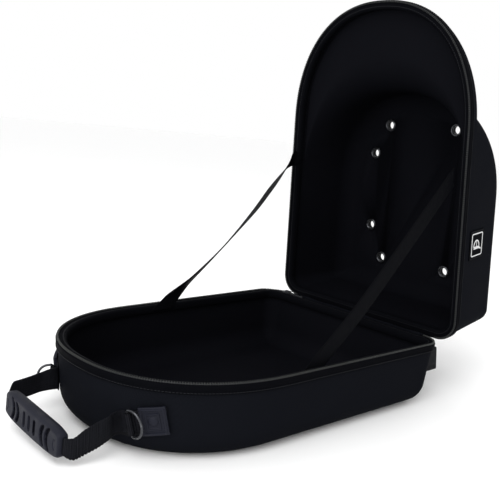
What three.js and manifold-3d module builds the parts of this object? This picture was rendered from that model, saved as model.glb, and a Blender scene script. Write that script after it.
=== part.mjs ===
// Baseball cap carrier case, open: a moulded tray and a domed lid of padded cloth over foam, joined
// by a fabric hinge at the rear, a zip round their rims, two restraint straps, a webbing handle with
// a rubber grip at the rounded front, two D-rings and eight vent eyelets.
// Millimetres, +Z up, +X the right side, -Y the handle end. The origin is the middle of the tray's
// flat underside.
import * as THREE from "three";
import { mergeVertices } from "three/addons/utils/BufferGeometryUtils.js";
import Module from "manifold-3d";

const wasm = await Module();
wasm.setup();

// Plan of both shells
const caseLength = 400;
const halfWidth = 141.6;
const planTaper = 0.077;
const archLength = 150;
const archPower = 2.26;
const cornerRadius = 26;
const shellWall = 4.5;

// Tray
const trayHeight = 78;
const trayDraft = 5;
const trayBottomRadius = 28;

// Lid: a shallow slab as large as the tray, with a deep dome on its rear part
const slabDepth = 22;
const slabEdgeRadius = 6;
const slabDraft = 1;
const domeLength = 300;
const domeArchLength = 136;
const domeDepth = 118;
const domeSideDraft = 13;
const domeEndDraft = 5.6;
const domeEdgeRadius = 27;
const domeFootFillet = 40;
const openAngle = 85;
const hingeSetBack = 24;
const hingeDrop = 7;

// Rim band and zip
const clearance = 0.3;
const bandThickness = 1.6;
const bandSkirt = 11;
const lipReach = 9;
const lipBevel = 2.5;
const coilWidth = 2.2;
const coilHeight = 1.6;
const sliderLength = 12;
const sliderWidth = 8;
const sliderHeight = 4;
const pullLength = 24;
const pullWidth = 6;
const pullThickness = 1.6;
const pullOverlap = 1;

// Fabric hinge
const hingeThickness = 1.6;
const hingeEndMargin = 8;
const hingeHem = 8;
const hingeHumpShare = 0.4;

// Restraint straps
const strapWidth = 20;
const strapThickness = 1.5;
const strapTrayY = -4;
const strapLidReach = 203;
const strapSewnDepth = 7;

// Vent eyelets, in the flat back of the dome: across and along are shares of its half width and length
const eyeletBore = 5.2;
const eyeletBarrel = 5.8;
const eyeletFlange = 8.5;
const eyeletRoll = 2.4;
const ventHoleRadius = 6.3;
const ventInner = 0.372;
const ventOuter = 0.531;
const ventPlaces = [
  { name: "eyelet_1", across: ventInner, along: 0.819 },
  { name: "eyelet_2", across: ventOuter, along: 0.681 },
  { name: "eyelet_3", across: ventOuter, along: 0.327 },
  { name: "eyelet_4", across: ventInner, along: 0.174 },
  { name: "eyelet_5", across: -ventInner, along: 0.174 },
  { name: "eyelet_6", across: -ventOuter, along: 0.327 },
  { name: "eyelet_7", across: -ventOuter, along: 0.681 },
  { name: "eyelet_8", across: -ventInner, along: 0.819 },
];

// Handle webbing, anchor patches and D-rings on the rounded front of the tray
const webbingWidth = 24;
const webbingThickness = 2;
const ringArchAngle = 61.4;
const ringHeight = 34;
const ringTilt = 14;
const patchDistance = 20.8;
const patchHeight = 39.4;
const patchLength = 24;
const patchWidth = 27;
const patchTilt = 12;
const patchPlate = 2.2;
const patchRelief = 1.3;
const frameTrims = [1.2, 3, 5.6, 7];
const buttonRadius = 4.4;
const wireRadius = 1.25;
const ringInnerHeight = 23;
const ringReach = 15.5;
const ringArm = 4.5;
const ringCorner = 2.5;
const loopHeight = 21;
const loopThickness = 1.5;
const loopTailRear = 4;
const loopTailFront = 7;
const boreClearance = 0.35;
const loopRadius = wireRadius + boreClearance + loopThickness;
const ringSwingRight = 20;
const ringSwingLeft = 92;

// Grip
const gripLength = 102;
const gripHeight = 27;
const gripEndHeight = 19.5;
const gripDepth = 10;
const gripBulge = 1.5;
const gripBevel = 2;
const gripStandOff = 38.5;
const gripCentreZ = 21.5;
const gripTilt = 2.8;
const gripSlotDepth = 2.4;
const gripSlotWidth = 4;
const gripWebbingWidth = 16;
// Slots from left to right: place is a share of the grip's half length, length of its height, bow
// and width of the slots' width
const gripSlots = [
  { place: -0.7, length: 0.8, bow: 1.25, width: 1.3 },
  { place: -0.51, length: 0.72, bow: 1, width: 1.3 },
  { place: -0.19, length: 0.54, bow: 0, width: 1 },
  { place: 0, length: 0.54, bow: 0, width: 1 },
  { place: 0.19, length: 0.54, bow: 0, width: 1 },
  { place: 0.51, length: 0.72, bow: -1, width: 1.3 },
  { place: 0.7, length: 0.8, bow: -1.25, width: 1.3 },
];

// Label and zip-end tabs
const labelReach = 115;
const labelDepth = 45;
const labelWidth = 38;
const labelHeight = 36;
const labelThickness = 0.9;
const tabThickness = 3;
const tabHeight = 28;
const tabTop = 64;
const tabReachTop = 14;
const tabReachBottom = 20;
const tabInsetX = 16;

// Facets of the rounded stretches
const cornerSteps = 5;
const sideSteps = 4;
const archSteps = 13;

// Small maths helpers
const radians = THREE.MathUtils.degToRad;
const rearY = caseLength / 2;
const vec = (x, y, z) => new THREE.Vector3(x, y, z);
const shares = (count) => Array.from({ length: count + 1 }, (_, i) => i / count);

// Material colours
const cloth = new THREE.MeshStandardMaterial({ color: 0x17181c, roughness: 0.75, metalness: 0 });
const tape = new THREE.MeshStandardMaterial({ color: 0x1b1c20, roughness: 0.8, metalness: 0 });
const webbing = new THREE.MeshStandardMaterial({ color: 0x141518, roughness: 0.85, metalness: 0 });
const rubber = new THREE.MeshStandardMaterial({ color: 0x23242f, roughness: 0.6, metalness: 0 });
const metal = new THREE.MeshStandardMaterial({ color: 0x1d1e22, roughness: 0.35, metalness: 0.8 });
const coil = new THREE.MeshStandardMaterial({ color: 0x2a2b2f, roughness: 0.5, metalness: 0 });

// A closed solid from rings of points: each ring is joined to the next. The ends are capped from
// their middles, or with wrap the last ring joins the first.
function skin(rings, wrap = false) {
  const size = rings[0].length;
  const positions = rings.flat().flatMap((p) => [p.x, p.y, p.z]);
  const triangles = [];
  const last = wrap ? rings.length : rings.length - 1;
  for (let r = 0; r < last; r++) {
    const here = r * size;
    const next = ((r + 1) % rings.length) * size;
    for (let k = 0; k < size; k++) {
      const step = (k + 1) % size;
      triangles.push([here + k, here + step, next + step], [here + k, next + step, next + k]);
    }
  }
  if (!wrap) {
    for (const [r, flip] of [[0, true], [rings.length - 1, false]]) {
      const middle = positions.length / 3;
      const centre = rings[r].reduce((sum, p) => sum.add(p), vec(0, 0, 0)).divideScalar(size);
      positions.push(centre.x, centre.y, centre.z);
      for (let k = 0; k < size; k++) {
        const a = r * size + k;
        const b = r * size + ((k + 1) % size);
        triangles.push(flip ? [middle, b, a] : [middle, a, b]);
      }
    }
  }
  return outward(positions, triangles);
}

// A geometry whose faces point out, whichever way its rings ran
function outward(positions, triangles) {
  const corner = (i) => vec(positions[3 * i], positions[3 * i + 1], positions[3 * i + 2]);
  let volume = 0;
  for (const [a, b, c] of triangles) {
    volume += corner(a).dot(corner(b).cross(corner(c)));
  }
  const faces = volume < 0 ? triangles.map(([a, b, c]) => [a, c, b]) : triangles;
  const geometry = new THREE.BufferGeometry();
  geometry.setAttribute("position", new THREE.Float32BufferAttribute(positions, 3));
  geometry.setIndex(faces.flat());
  geometry.computeVertexNormals();
  return geometry;
}

// Booleans: a geometry as a solid, and back
function toSolid(source) {
  const bare = source.clone();
  bare.deleteAttribute("normal");
  bare.deleteAttribute("uv");
  const merged = mergeVertices(bare, 1e-4);
  const vertProperties = new Float32Array(merged.attributes.position.array);
  const triVerts = new Uint32Array(merged.index.array);
  return new wasm.Manifold(new wasm.Mesh({ numProp: 3, vertProperties, triVerts }));
}

function fromSolid(solid) {
  const mesh = solid.getMesh();
  const geometry = new THREE.BufferGeometry();
  geometry.setAttribute("position", new THREE.Float32BufferAttribute(mesh.vertProperties, 3));
  geometry.setIndex(Array.from(mesh.triVerts));
  geometry.computeVertexNormals();
  return geometry;
}

function named(name, geometry, material) {
  const mesh = new THREE.Mesh(geometry, material);
  mesh.name = name;
  return mesh;
}

// Plan outline at one height. y runs from 0 at the rear wall to -reach at the rounded front.
function archPoint(half, reach, arch, angle) {
  const a = radians(angle);
  const y = -(reach - arch) - arch * Math.pow(Math.sin(a), 2 / archPower);
  const x = half * Math.pow(Math.max(Math.cos(a), 0), 2 / archPower);
  return [x * taperAt(y), y];
}

function taperAt(y) {
  return 1 + (planTaper * y) / caseLength;
}

function planRing({ side, rear, reach, arch, z }) {
  const half = halfWidth - side;
  const radius = Math.max(cornerRadius - Math.max(side, rear), 1);
  const right = [];
  for (const t of shares(cornerSteps)) {
    const a = (t * Math.PI) / 2;
    const y = -rear - radius + radius * Math.cos(a);
    right.push([(half - radius + radius * Math.sin(a)) * taperAt(y), y]);
  }
  const start = -rear - radius;
  const end = -(reach - arch);
  for (const t of shares(sideSteps).slice(1)) {
    const y = start + (end - start) * t;
    right.push([half * taperAt(y), y]);
  }
  for (const t of shares(archSteps).slice(1)) {
    right.push(archPoint(half, reach, arch, 90 * t));
  }
  const left = right.slice(0, -1).reverse().map(([x, y]) => [-x, y]);
  return [...right, ...left].map(([x, y]) => vec(x, y, z));
}

// Tray: how far its outer face has drawn in at a height
function trayInset(z) {
  if (z >= trayBottomRadius) {
    return (trayDraft * (trayHeight - z)) / (trayHeight - trayBottomRadius);
  }
  const fall = 1 - z / trayBottomRadius;
  return trayDraft + trayBottomRadius * (1 - Math.sqrt(1 - fall * fall));
}

function trayRingAt(inset, z) {
  return planRing({ side: inset, rear: inset, reach: caseLength - inset, arch: archLength - inset, z });
}

// The same rim frame for both shells: extra is measured in from the shell's outer face, and depth
// from the plane where the two rims meet
const rimStack = coilHeight + clearance + bandThickness + clearance;
const trayRim = (extra, depth) => trayRingAt(trayInset(trayHeight - depth) + extra, trayHeight - depth);
const lidRim = (extra, depth) => planRing(lidSection(depth, extra, caseLength, archLength, slabDraft));

function trayShell() {
  const rings = [];
  const turns = shares(5).map((t) => (t * Math.PI) / 2);
  for (const turn of turns) {
    const z = trayBottomRadius * (1 - Math.cos(turn));
    rings.push(trayRingAt(trayDraft + trayBottomRadius * (1 - Math.sin(turn)), z));
  }
  rings.push(trayRim(0, rimStack), trayRim(shellWall, rimStack));
  const inner = trayBottomRadius - shellWall;
  for (const turn of turns.reverse()) {
    const z = shellWall + inner * (1 - Math.cos(turn));
    rings.push(trayRingAt(trayDraft + shellWall + inner * (1 - Math.sin(turn)), z));
  }
  return skin(rings);
}

// Lid, as it lies closed: depth grows from the rim plane towards the dome's back
function lidSection(depth, extra, reach, arch, frontDraft) {
  const front = (frontDraft * depth) / slabDepth + extra;
  return {
    side: (domeSideDraft * depth) / domeDepth + extra,
    rear: (domeEndDraft * depth) / domeDepth + extra,
    reach: reach - front,
    arch: arch - front,
    z: depth,
  };
}

function domeSection(depth, extra, forward) {
  const section = lidSection(depth, extra, domeLength, domeArchLength, 0);
  const front = (domeEndDraft * depth) / domeDepth - forward;
  return { ...section, reach: section.reach - front, arch: section.arch - front };
}

// One face of the lid from the middle of the dome's back to the rim: the outer face, or the inner
// face one wall inside it
function lidFace(wall) {
  const rings = [];
  const edge = domeEdgeRadius - wall;
  for (const t of shares(4)) {
    const turn = (t * Math.PI) / 2;
    const depth = domeDepth - wall - edge * (1 - Math.cos(turn));
    rings.push(planRing(domeSection(depth, wall + edge * (1 - Math.sin(turn)), 0)));
  }
  const foot = domeFootFillet + wall;
  for (const t of shares(6)) {
    const turn = (t * Math.PI) / 2;
    const depth = slabDepth + domeFootFillet - foot * Math.sin(turn);
    const forward = wall + domeFootFillet - foot * Math.cos(turn);
    rings.push(planRing(domeSection(depth, wall, forward)));
  }
  const slabEdge = slabEdgeRadius - wall;
  for (const t of shares(3)) {
    const turn = (t * Math.PI) / 2;
    const depth = slabDepth - wall - slabEdge * (1 - Math.cos(turn));
    const section = lidSection(depth, wall, caseLength, archLength, slabDraft);
    const round = slabEdge * (1 - Math.sin(turn));
    rings.push(planRing({ ...section, reach: section.reach - round, arch: section.arch - round }));
  }
  rings.push(lidRim(wall, rimStack));
  return rings;
}

function lidShell() {
  const body = toSolid(skin([...lidFace(0), ...lidFace(shellWall).reverse()]));
  const holes = ventPlaces.map(({ across, along }) => {
    const hole = new THREE.CylinderGeometry(ventHoleRadius, ventHoleRadius, 4 * shellWall, 12);
    hole.rotateX(Math.PI / 2);
    hole.translate(across * halfWidth, -along * domeLength, domeDepth);
    return toSolid(hole);
  });
  return fromSolid(holes.reduce((shell, hole) => shell.subtract(hole), body));
}

// Zip tape round a rim: a skirt outside the shell, a cover over its edge and a bevelled lip inside
function rimBand(rim) {
  const top = coilHeight + clearance;
  const under = top + bandThickness;
  const corners = [
    [-clearance - bandThickness, bandSkirt],
    [-clearance - bandThickness, top + bandThickness / 2],
    [-clearance - bandThickness / 2, top],
    [lipReach - lipBevel, top],
    [lipReach, top + lipBevel],
    [lipReach, bandSkirt],
    [shellWall + clearance, bandSkirt],
    [shellWall + clearance, under],
    [-clearance, under],
    [-clearance, bandSkirt],
  ];
  return skin(corners.map(([extra, depth]) => rim(extra, depth)), true);
}

// Zip coil: one half of the zip, on the tape's outer edge from one rear corner to the other
function zipCoil(rim) {
  const outer = -clearance - bandThickness / 2;
  const corners = [
    rim(outer, coilHeight),
    rim(outer, 0),
    rim(outer + coilWidth, 0),
    rim(outer + coilWidth, coilHeight),
  ];
  return skin(corners[0].map((_, k) => corners.map((ring) => ring[k])));
}

// A flat strip along stations, each with a middle point, a direction across it, the direction that
// its face looks in, and a width
function stripRings(stations, thickness) {
  return stations.map(({ middle, across, face, width }) => {
    const w = across.clone().multiplyScalar(width / 2);
    const f = face.clone().multiplyScalar(thickness / 2);
    return [[-1, -1], [1, -1], [1, 1], [-1, 1]].map(([a, b]) => {
      return middle.clone().addScaledVector(w, a).addScaledVector(f, b);
    });
  });
}

// Lid placement, and its local points as points of the whole case
const lidAngle = radians(openAngle);
const lidOrigin = vec(0, rearY + hingeSetBack, trayHeight - hingeDrop);

function lidToCase(x, reach, depth) {
  return vec(x, -reach, depth).applyAxisAngle(vec(1, 0, 0), -lidAngle).add(lidOrigin);
}

// Fabric hinge: sewn up the tray's rear rim band, across the gap, and under the lid's rear rim band
function fabricHinge() {
  const standOff = clearance + bandThickness + clearance + hingeThickness / 2;
  const hemTop = coilHeight + clearance + bandThickness;
  const trayPoint = (depth, room = 0) => {
    const z = trayHeight - depth;
    return vec(0, rearY - trayInset(z) + standOff + room, z);
  };
  const lidPoint = (depth, room = 0) => {
    return lidToCase(0, (domeEndDraft * depth) / domeDepth - standOff - room, depth);
  };
  const hump = trayPoint(hemTop).lerp(lidPoint(0), hingeHumpShare).setZ(trayHeight - hemTop);
  const route = [
    trayPoint(hemTop + hingeHem),
    trayPoint(hemTop + hingeHem / 2),
    trayPoint(hemTop, clearance),
    hump,
    lidPoint(0, clearance),
    lidPoint(hemTop, clearance),
    lidPoint(hemTop + hingeHem / 2),
    lidPoint(hemTop + hingeHem),
  ];
  const curve = new THREE.CatmullRomCurve3(route, false, "centripetal");
  const width = 2 * (halfWidth - cornerRadius - hingeEndMargin);
  const stations = shares(21).map((t) => {
    const across = vec(1, 0, 0);
    return { middle: curve.getPoint(t), across, face: curve.getTangent(t).cross(across), width };
  });
  return skin(stripRings(stations, hingeThickness));
}

// Restraint strap between the inner lips of the tray and the lid on one side. In its table, share
// runs from the tray to the lid, sag is in strap widths, and turn twists it about its own length.
const strapSagRight = [
  { share: 0, sag: 0, turn: 0 },
  { share: 0.12, sag: -0.14, turn: 0 },
  { share: 0.25, sag: -0.25, turn: 0 },
  { share: 0.45, sag: -0.24, turn: 0 },
  { share: 0.7, sag: -0.14, turn: 0 },
  { share: 1, sag: 0, turn: 0 },
];
const strapSagLeft = [
  { share: 0, sag: 0, turn: 0 },
  { share: 0.15, sag: -0.2, turn: 42 },
  { share: 0.3, sag: -0.38, turn: 50 },
  { share: 0.45, sag: -0.45, turn: 55 },
  { share: 0.62, sag: -0.42, turn: 64 },
  { share: 0.76, sag: -0.22, turn: 66 },
  { share: 0.9, sag: -0.02, turn: 48 },
  { share: 0.96, sag: 0, turn: 16 },
  { share: 1, sag: 0, turn: 0 },
];

function restraintStrap(side, sags) {
  const lipAt = (drawIn, reach) => {
    const inset = drawIn + lipReach + clearance + strapThickness / 2;
    return side * (halfWidth - inset) * taperAt(-reach);
  };
  const trayReach = rearY - strapTrayY;
  const trayX = lipAt(trayInset(trayHeight - bandSkirt), trayReach + strapWidth);
  const lidX = lipAt((domeSideDraft * bandSkirt) / domeDepth, strapLidReach + strapWidth);
  const start = vec(trayX, strapTrayY, trayHeight);
  const end = lidToCase(lidX, strapLidReach, 0);
  const along = end.clone().sub(start).normalize();
  const across = vec(1, 0, 0).cross(along).normalize();
  const stations = smoothTable(sags, 3).map(({ share, sag, turn }) => {
    const middle = start.clone().lerp(end, share).addScaledVector(across, sag * strapWidth);
    const turned = across.clone().applyAxisAngle(along, radians(turn));
    return { middle, across: turned, face: turned.clone().cross(along), width: strapWidth };
  });
  const rings = stripRings(stations, strapThickness);
  const lidOut = lidToCase(0, 0, 1).sub(lidOrigin);
  const slide = (ring, origin, normal, depth) => ring.map((p) => {
    const missing = depth - p.clone().sub(origin).dot(normal);
    return p.clone().addScaledVector(along, missing / along.dot(normal));
  });
  const first = slide(rings[0], start, vec(0, 0, 1), -strapSewnDepth);
  const last = slide(rings.at(-1), end, lidOut, strapSewnDepth);
  return skin([first, ...rings.slice(1, -1), last]);
}

// A table of rows made smooth: steps new rows for each gap, every column on one curve
function smoothTable(rows, steps) {
  const names = Object.keys(rows[0]);
  const curves = names.map((name) => {
    return new THREE.CatmullRomCurve3(rows.map((row, i) => vec(i, row[name], 0)), false, "centripetal");
  });
  return shares((rows.length - 1) * steps).map((t) => {
    return Object.fromEntries(names.map((name, c) => [name, curves[c].getPoint(t).y]));
  });
}

// A point on the tray's rounded front, stand millimetres outside it. The arch angle is 0 where the
// rounded front starts and 90 at its tip; side is 1 on the right and -1 on the left.
function frontPoint(side, angle, z, stand) {
  const inset = trayInset(z) - stand;
  const [x, y] = archPoint(halfWidth - inset, caseLength - inset, archLength - inset, angle);
  return vec(side * x, y + rearY, z);
}

// The arch angle at a distance behind the D-ring's bar, measured along the wall
function angleBehindRing(distance) {
  const step = distance > 0 ? -0.1 : 0.1;
  let angle = ringArchAngle;
  let travelled = 0;
  while (travelled < Math.abs(distance)) {
    const here = frontPoint(1, angle, ringHeight, 0);
    travelled += here.distanceTo(frontPoint(1, angle + step, ringHeight, 0));
    angle += step;
  }
  return angle;
}

// A frame at the D-ring's bar: local X points out of the wall, Y runs level along it and Z up it
function ringFrame(side, stand) {
  const at = (angle, z) => frontPoint(side, ringArchAngle + angle, ringHeight + z, 0);
  const level = at(-1, 0).sub(at(1, 0)).multiplyScalar(side).normalize();
  const out = level.clone().cross(at(0, 1).sub(at(0, -1))).normalize();
  const frame = new THREE.Matrix4().makeBasis(out, level, out.clone().cross(level));
  frame.setPosition(frontPoint(side, ringArchAngle, ringHeight, stand));
  return frame.multiply(new THREE.Matrix4().makeRotationX(side * radians(ringTilt)));
}

// Handle webbing: behind each patch, past the D-ring's loop, off the wall, and through the grip.
// By the wall, behind is the distance behind the D-ring's bar and rise the height over it, as shares
// of the patch's own, and lift is the room under the webbing as a share of the loop's radius. Off the
// wall, out is a share of the grip's stand-off, inward of the patch's distance from the bar, and
// height of the grip's. Width is a share of the webbing's.
const webbingOnWall = [
  { behind: 1.5, rise: 1.366, lift: 0, width: 1 },
  { behind: 1.332, rise: 1.219, lift: 0, width: 1 },
  { behind: 1, rise: 1, lift: 0, width: 1 },
  { behind: 0.613, rise: 0.59, lift: 0, width: 1 },
  { behind: 0.226, rise: 0.078, lift: 0, width: 1 },
  { behind: -0.106, rise: -0.463, lift: 0, width: 1 },
  { behind: -0.261, rise: -0.419, lift: 0, width: 1 },
];
const webbingLeavingRight = [
  { behind: -0.482, rise: -0.434, lift: 0.22, width: 0.97 },
  { behind: -0.622, rise: -0.463, lift: 2.6, width: 0.94 },
];
const webbingLeavingLeft = [
  { behind: -0.482, rise: 0.064, lift: 0.22, width: 0.95 },
  { behind: -0.622, rise: 0.1, lift: 2.6, width: 0.9 },
];
const webbingFreeRight = [
  { out: 0.05, inward: 0.225, height: 1.42, width: 0.95 },
  { out: 0.34, inward: 0.215, height: 1.25, width: 0.99 },
  { out: 0.63, inward: 0.315, height: 1.02, width: 1 },
  { out: 0.85, inward: 0.465, height: 0.8, width: 0.8 },
];
const webbingFreeLeft = [
  { out: 0.09, inward: 0.285, height: 1.51, width: 0.84 },
  { out: 0.41, inward: 0.35, height: 1.44, width: 0.83 },
  { out: 0.67, inward: 0.44, height: 1.42, width: 0.83 },
  { out: 0.88, inward: 0.51, height: 1.37, width: 0.84 },
];
const gripMiddle = vec(0, -rearY - gripStandOff, gripCentreZ);
const webbingStand = clearance + webbingThickness / 2;

function webbingSide(side, leaving, free) {
  const byWall = [...webbingOnWall, ...leaving].map(({ behind, rise, lift, width }) => {
    const angle = angleBehindRing(behind * patchDistance);
    const height = ringHeight + rise * (patchHeight - ringHeight);
    const middle = frontPoint(side, angle, height, webbingStand + lift * loopRadius);
    const upper = frontPoint(side, angle, height + webbingWidth / 4, 0);
    const up = upper.sub(frontPoint(side, angle, height - webbingWidth / 4, 0)).normalize();
    return { middle, up, width: width * webbingWidth };
  });
  const bar = frontPoint(side, ringArchAngle, ringHeight, webbingStand);
  const offWall = free.map(({ out, inward, height, width }) => {
    const x = bar.x - side * inward * patchDistance;
    const middle = vec(x, -rearY - out * gripStandOff, height * gripCentreZ);
    return { middle, up: vec(0, 0, 1), width: width * webbingWidth };
  });
  const inGrip = [1.04, 1, 0.8].map((share) => {
    const along = vec((side * share * gripLength) / 2, 0, 0);
    const middle = along.applyAxisAngle(vec(0, 1, 0), radians(gripTilt)).add(gripMiddle);
    return { middle, up: vec(0, 0, 1), width: gripWebbingWidth };
  });
  return [...byWall, ...offWall, ...inGrip];
}

function handleWebbing() {
  const right = webbingSide(1, webbingLeavingRight, webbingFreeRight);
  const left = webbingSide(-1, webbingLeavingLeft, webbingFreeLeft);
  const marks = [...right, ...left.reverse()];
  const curve = new THREE.CatmullRomCurve3(marks.map((mark) => mark.middle), false, "centripetal");
  const gaps = marks.length - 1;
  const stations = shares(gaps * 2).map((t) => {
    const low = Math.min(Math.floor(t * gaps), gaps - 1);
    const part = t * gaps - low;
    const travel = curve.getTangent(t).setZ(0).normalize();
    const across = marks[low].up.clone().lerp(marks[low + 1].up, part).normalize();
    const width = THREE.MathUtils.lerp(marks[low].width, marks[low + 1].width, part);
    return { middle: curve.getPoint(t), across, face: across.clone().cross(travel), width };
  });
  return skin(stripRings(stations, webbingThickness));
}

// Anchor patch: a moulded rubber square over the webbing's sewn end, bent to the wall, with two
// raised frames and a plain raised button
function anchorPatch(side) {
  const tilt = radians(patchTilt);
  const base = 2 * clearance + webbingThickness;
  const at = (along, up, stand) => {
    const behind = patchDistance + along * Math.cos(tilt) - up * Math.sin(tilt);
    const z = patchHeight + up * Math.cos(tilt) + along * Math.sin(tilt);
    return frontPoint(side, angleBehindRing(behind), z, stand);
  };
  const plate = (trim, low, high) => {
    const halfUp = patchWidth / 2 - trim;
    const rings = shares(2).map((t) => {
      const along = (t - 0.5) * (patchLength - 2 * trim);
      const corners = [[-halfUp, low], [halfUp, low], [halfUp, high], [-halfUp, high]];
      return corners.map(([up, stand]) => at(along, up, stand));
    });
    return toSolid(skin(rings));
  };
  const sunk = base + patchPlate / 2;
  const top = base + patchPlate + patchRelief;
  const frame = (outer, inner) => plate(outer, sunk, top).subtract(plate(inner, base, top + 1));
  const button = new THREE.CylinderGeometry(buttonRadius, buttonRadius, patchPlate / 2 + patchRelief, 12);
  button.rotateZ(-Math.PI / 2);
  const face = at(0, 0, sunk);
  const outwards = at(0, 0, top).sub(face).normalize();
  button.translate((patchPlate / 2 + patchRelief) / 2, 0, 0);
  button.applyQuaternion(new THREE.Quaternion().setFromUnitVectors(vec(1, 0, 0), outwards));
  button.translate(face.x, face.y, face.z);
  const parts = [frame(frameTrims[0], frameTrims[1]), frame(frameTrims[2], frameTrims[3]), toSolid(button)];
  return fromSolid(parts.reduce((patch, piece) => patch.add(piece), plate(0, base, base + patchPlate)));
}

// Webbing loop that holds a D-ring's bar: local X out of the wall, extruded along the bar
function ringLoop(side) {
  const [low, high] = side > 0 ? [loopTailRear, loopTailFront] : [loopTailFront, loopTailRear];
  const shape = new THREE.Shape();
  shape.moveTo(-low, 0);
  shape.lineTo(high, 0);
  shape.lineTo(high, loopThickness / 2);
  shape.lineTo(loopRadius + clearance, loopThickness);
  shape.absarc(0, loopRadius, loopRadius, radians(-20), radians(200), false);
  shape.lineTo(-loopRadius - clearance, loopThickness);
  shape.lineTo(-low, loopThickness / 2);
  const bore = new THREE.Path();
  bore.absarc(0, loopRadius, wireRadius + boreClearance, 0, 2 * Math.PI, true);
  shape.holes.push(bore);
  const loop = new THREE.ExtrudeGeometry(shape, {
    depth: loopHeight,
    bevelEnabled: false,
    curveSegments: 12,
  });
  loop.translate(0, 0, -loopHeight / 2);
  loop.rotateZ(-Math.PI / 2);
  return loop;
}

// D-ring: a straight bar on its hinge line and a bowed side, as one closed wire
function dRing(side) {
  const half = ringInnerHeight / 2 + wireRadius;
  const quarter = shares(3).map((t) => (t * Math.PI) / 2);
  const upper = [
    ...quarter.map((a) => [ringCorner * (1 - Math.cos(a)), half - ringCorner * (1 - Math.sin(a))]),
    ...shares(5).map((t) => {
      const a = (t * Math.PI) / 2;
      return [ringArm + (ringReach - ringArm) * Math.sin(a), half * Math.cos(a)];
    }),
  ];
  const lower = upper.slice(0, -1).reverse().map(([y, z]) => [y, -z]);
  const line = [...upper, ...lower].map(([y, z]) => vec(0, side * y, z));
  const rings = line.map((point, k) => {
    const before = line.at(k - 1);
    const after = line[(k + 1) % line.length];
    const inPlane = after.clone().sub(before).cross(vec(1, 0, 0)).normalize();
    return shares(6).slice(1).map((t) => {
      const a = 2 * Math.PI * t;
      const spoke = inPlane.clone().multiplyScalar(Math.cos(a)).add(vec(Math.sin(a), 0, 0));
      return point.clone().addScaledVector(spoke, wireRadius);
    });
  });
  return skin(rings, true);
}

function wallFittings(side, swing) {
  const word = side > 0 ? "right" : "left";
  const webbingFace = 2 * clearance + webbingThickness;
  const loop = named(`dring_loop_${word}`, ringLoop(side), webbing);
  loop.applyMatrix4(ringFrame(side, webbingFace));
  const ring = named(`dring_${word}`, dRing(side), metal);
  ring.rotation.z = -side * radians(swing);
  const pivot = new THREE.Group();
  pivot.applyMatrix4(ringFrame(side, webbingFace + loopRadius));
  pivot.add(ring);
  return [named(`anchor_patch_${word}`, anchorPatch(side), rubber), loop, pivot];
}

// Grip: a rubber bar with a channel for the webbing and slots in its front face
function gripSlot({ place, length, bow, width }) {
  const half = (length * gripHeight) / 2;
  const edge = (sign) => shares(6).map((t) => {
    const z = (2 * t - 1) * half;
    const taper = Math.sqrt(Math.max(1 - Math.pow(z / half, 6), 0.05));
    const x = (place * gripLength) / 2 + bow * gripSlotWidth * (1 - (z / half) ** 2);
    return new THREE.Vector2(x + (sign * taper * width * gripSlotWidth) / 2, z);
  });
  const shape = new THREE.Shape([...edge(1), ...edge(-1).reverse()]);
  const slot = new THREE.ExtrudeGeometry(shape, { depth: 2 * gripSlotDepth, bevelEnabled: false });
  slot.rotateX(Math.PI / 2);
  slot.translate(0, gripSlotDepth - gripDepth / 2, 0);
  return toSolid(slot);
}

function handleGrip() {
  const edge = shares(12).map((t) => {
    const x = (2 * t - 1) * (gripLength / 2);
    const swell = 1 - Math.pow(Math.abs(2 * t - 1), 8);
    return new THREE.Vector2(x, (gripEndHeight + (gripHeight - gripEndHeight) * swell) / 2);
  });
  const under = edge.map((p) => new THREE.Vector2(-p.x, -p.y));
  const body = new THREE.ExtrudeGeometry(new THREE.Shape([...edge.reverse(), ...under.reverse()]), {
    depth: gripDepth - 2 * gripBevel,
    bevelThickness: gripBevel,
    bevelSize: gripBevel,
    bevelOffset: -gripBevel,
    bevelSegments: 3,
  });
  body.rotateX(Math.PI / 2);
  body.translate(0, gripDepth / 2 - gripBevel, 0);
  const corner = body.attributes.position;
  for (let k = 0; k < corner.count; k += 1) {
    const bulge = corner.getY(k) < 0 ? gripBulge * (1 - (2 * corner.getX(k) / gripLength) ** 2) : 0;
    corner.setY(k, corner.getY(k) - bulge);
  }
  const channel = new THREE.BoxGeometry(
    2 * gripLength,
    webbingThickness + 2 * clearance,
    gripWebbingWidth + 2 * clearance,
  );
  const cuts = [toSolid(channel), ...gripSlots.map(gripSlot)];
  return fromSolid(cuts.reduce((grip, cut) => grip.subtract(cut), toSolid(body)));
}

// Label on the right side of the dome, sewn flat on it: lid coordinates
function lidLabel() {
  const at = (along, up, stand) => {
    const depth = labelDepth + along;
    const reach = labelReach + up;
    const half = halfWidth - (domeSideDraft * depth) / domeDepth + stand;
    return vec(half * taperAt(-reach), -reach, depth);
  };
  const corners = [[-1, -1], [1, -1], [1, 1], [-1, 1]];
  const face = (stand) => corners.map(([a, b]) => at((a * labelWidth) / 2, (b * labelHeight) / 2, stand));
  return skin([face(clearance), face(clearance + labelThickness)]);
}

// Webbing tab at a rear corner, where the zip ends
function rearTab(side) {
  const middle = side * (halfWidth - tabInsetX);
  const foot = cornerRadius - tabInsetX - tabThickness / 2;
  const wallY = (z) => {
    const radius = cornerRadius - trayInset(z);
    return rearY - cornerRadius + Math.sqrt(radius * radius - foot * foot) + clearance;
  };
  const outline = [
    [wallY(tabTop), tabTop],
    [rearY + tabReachTop, tabTop],
    [rearY + tabReachBottom, tabTop - tabHeight],
    [wallY(tabTop - tabHeight), tabTop - tabHeight],
  ];
  const faceAt = (x) => outline.map(([y, z]) => vec(x, y, z));
  return skin([faceAt(middle - tabThickness / 2), faceAt(middle + tabThickness / 2)]);
}

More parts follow.
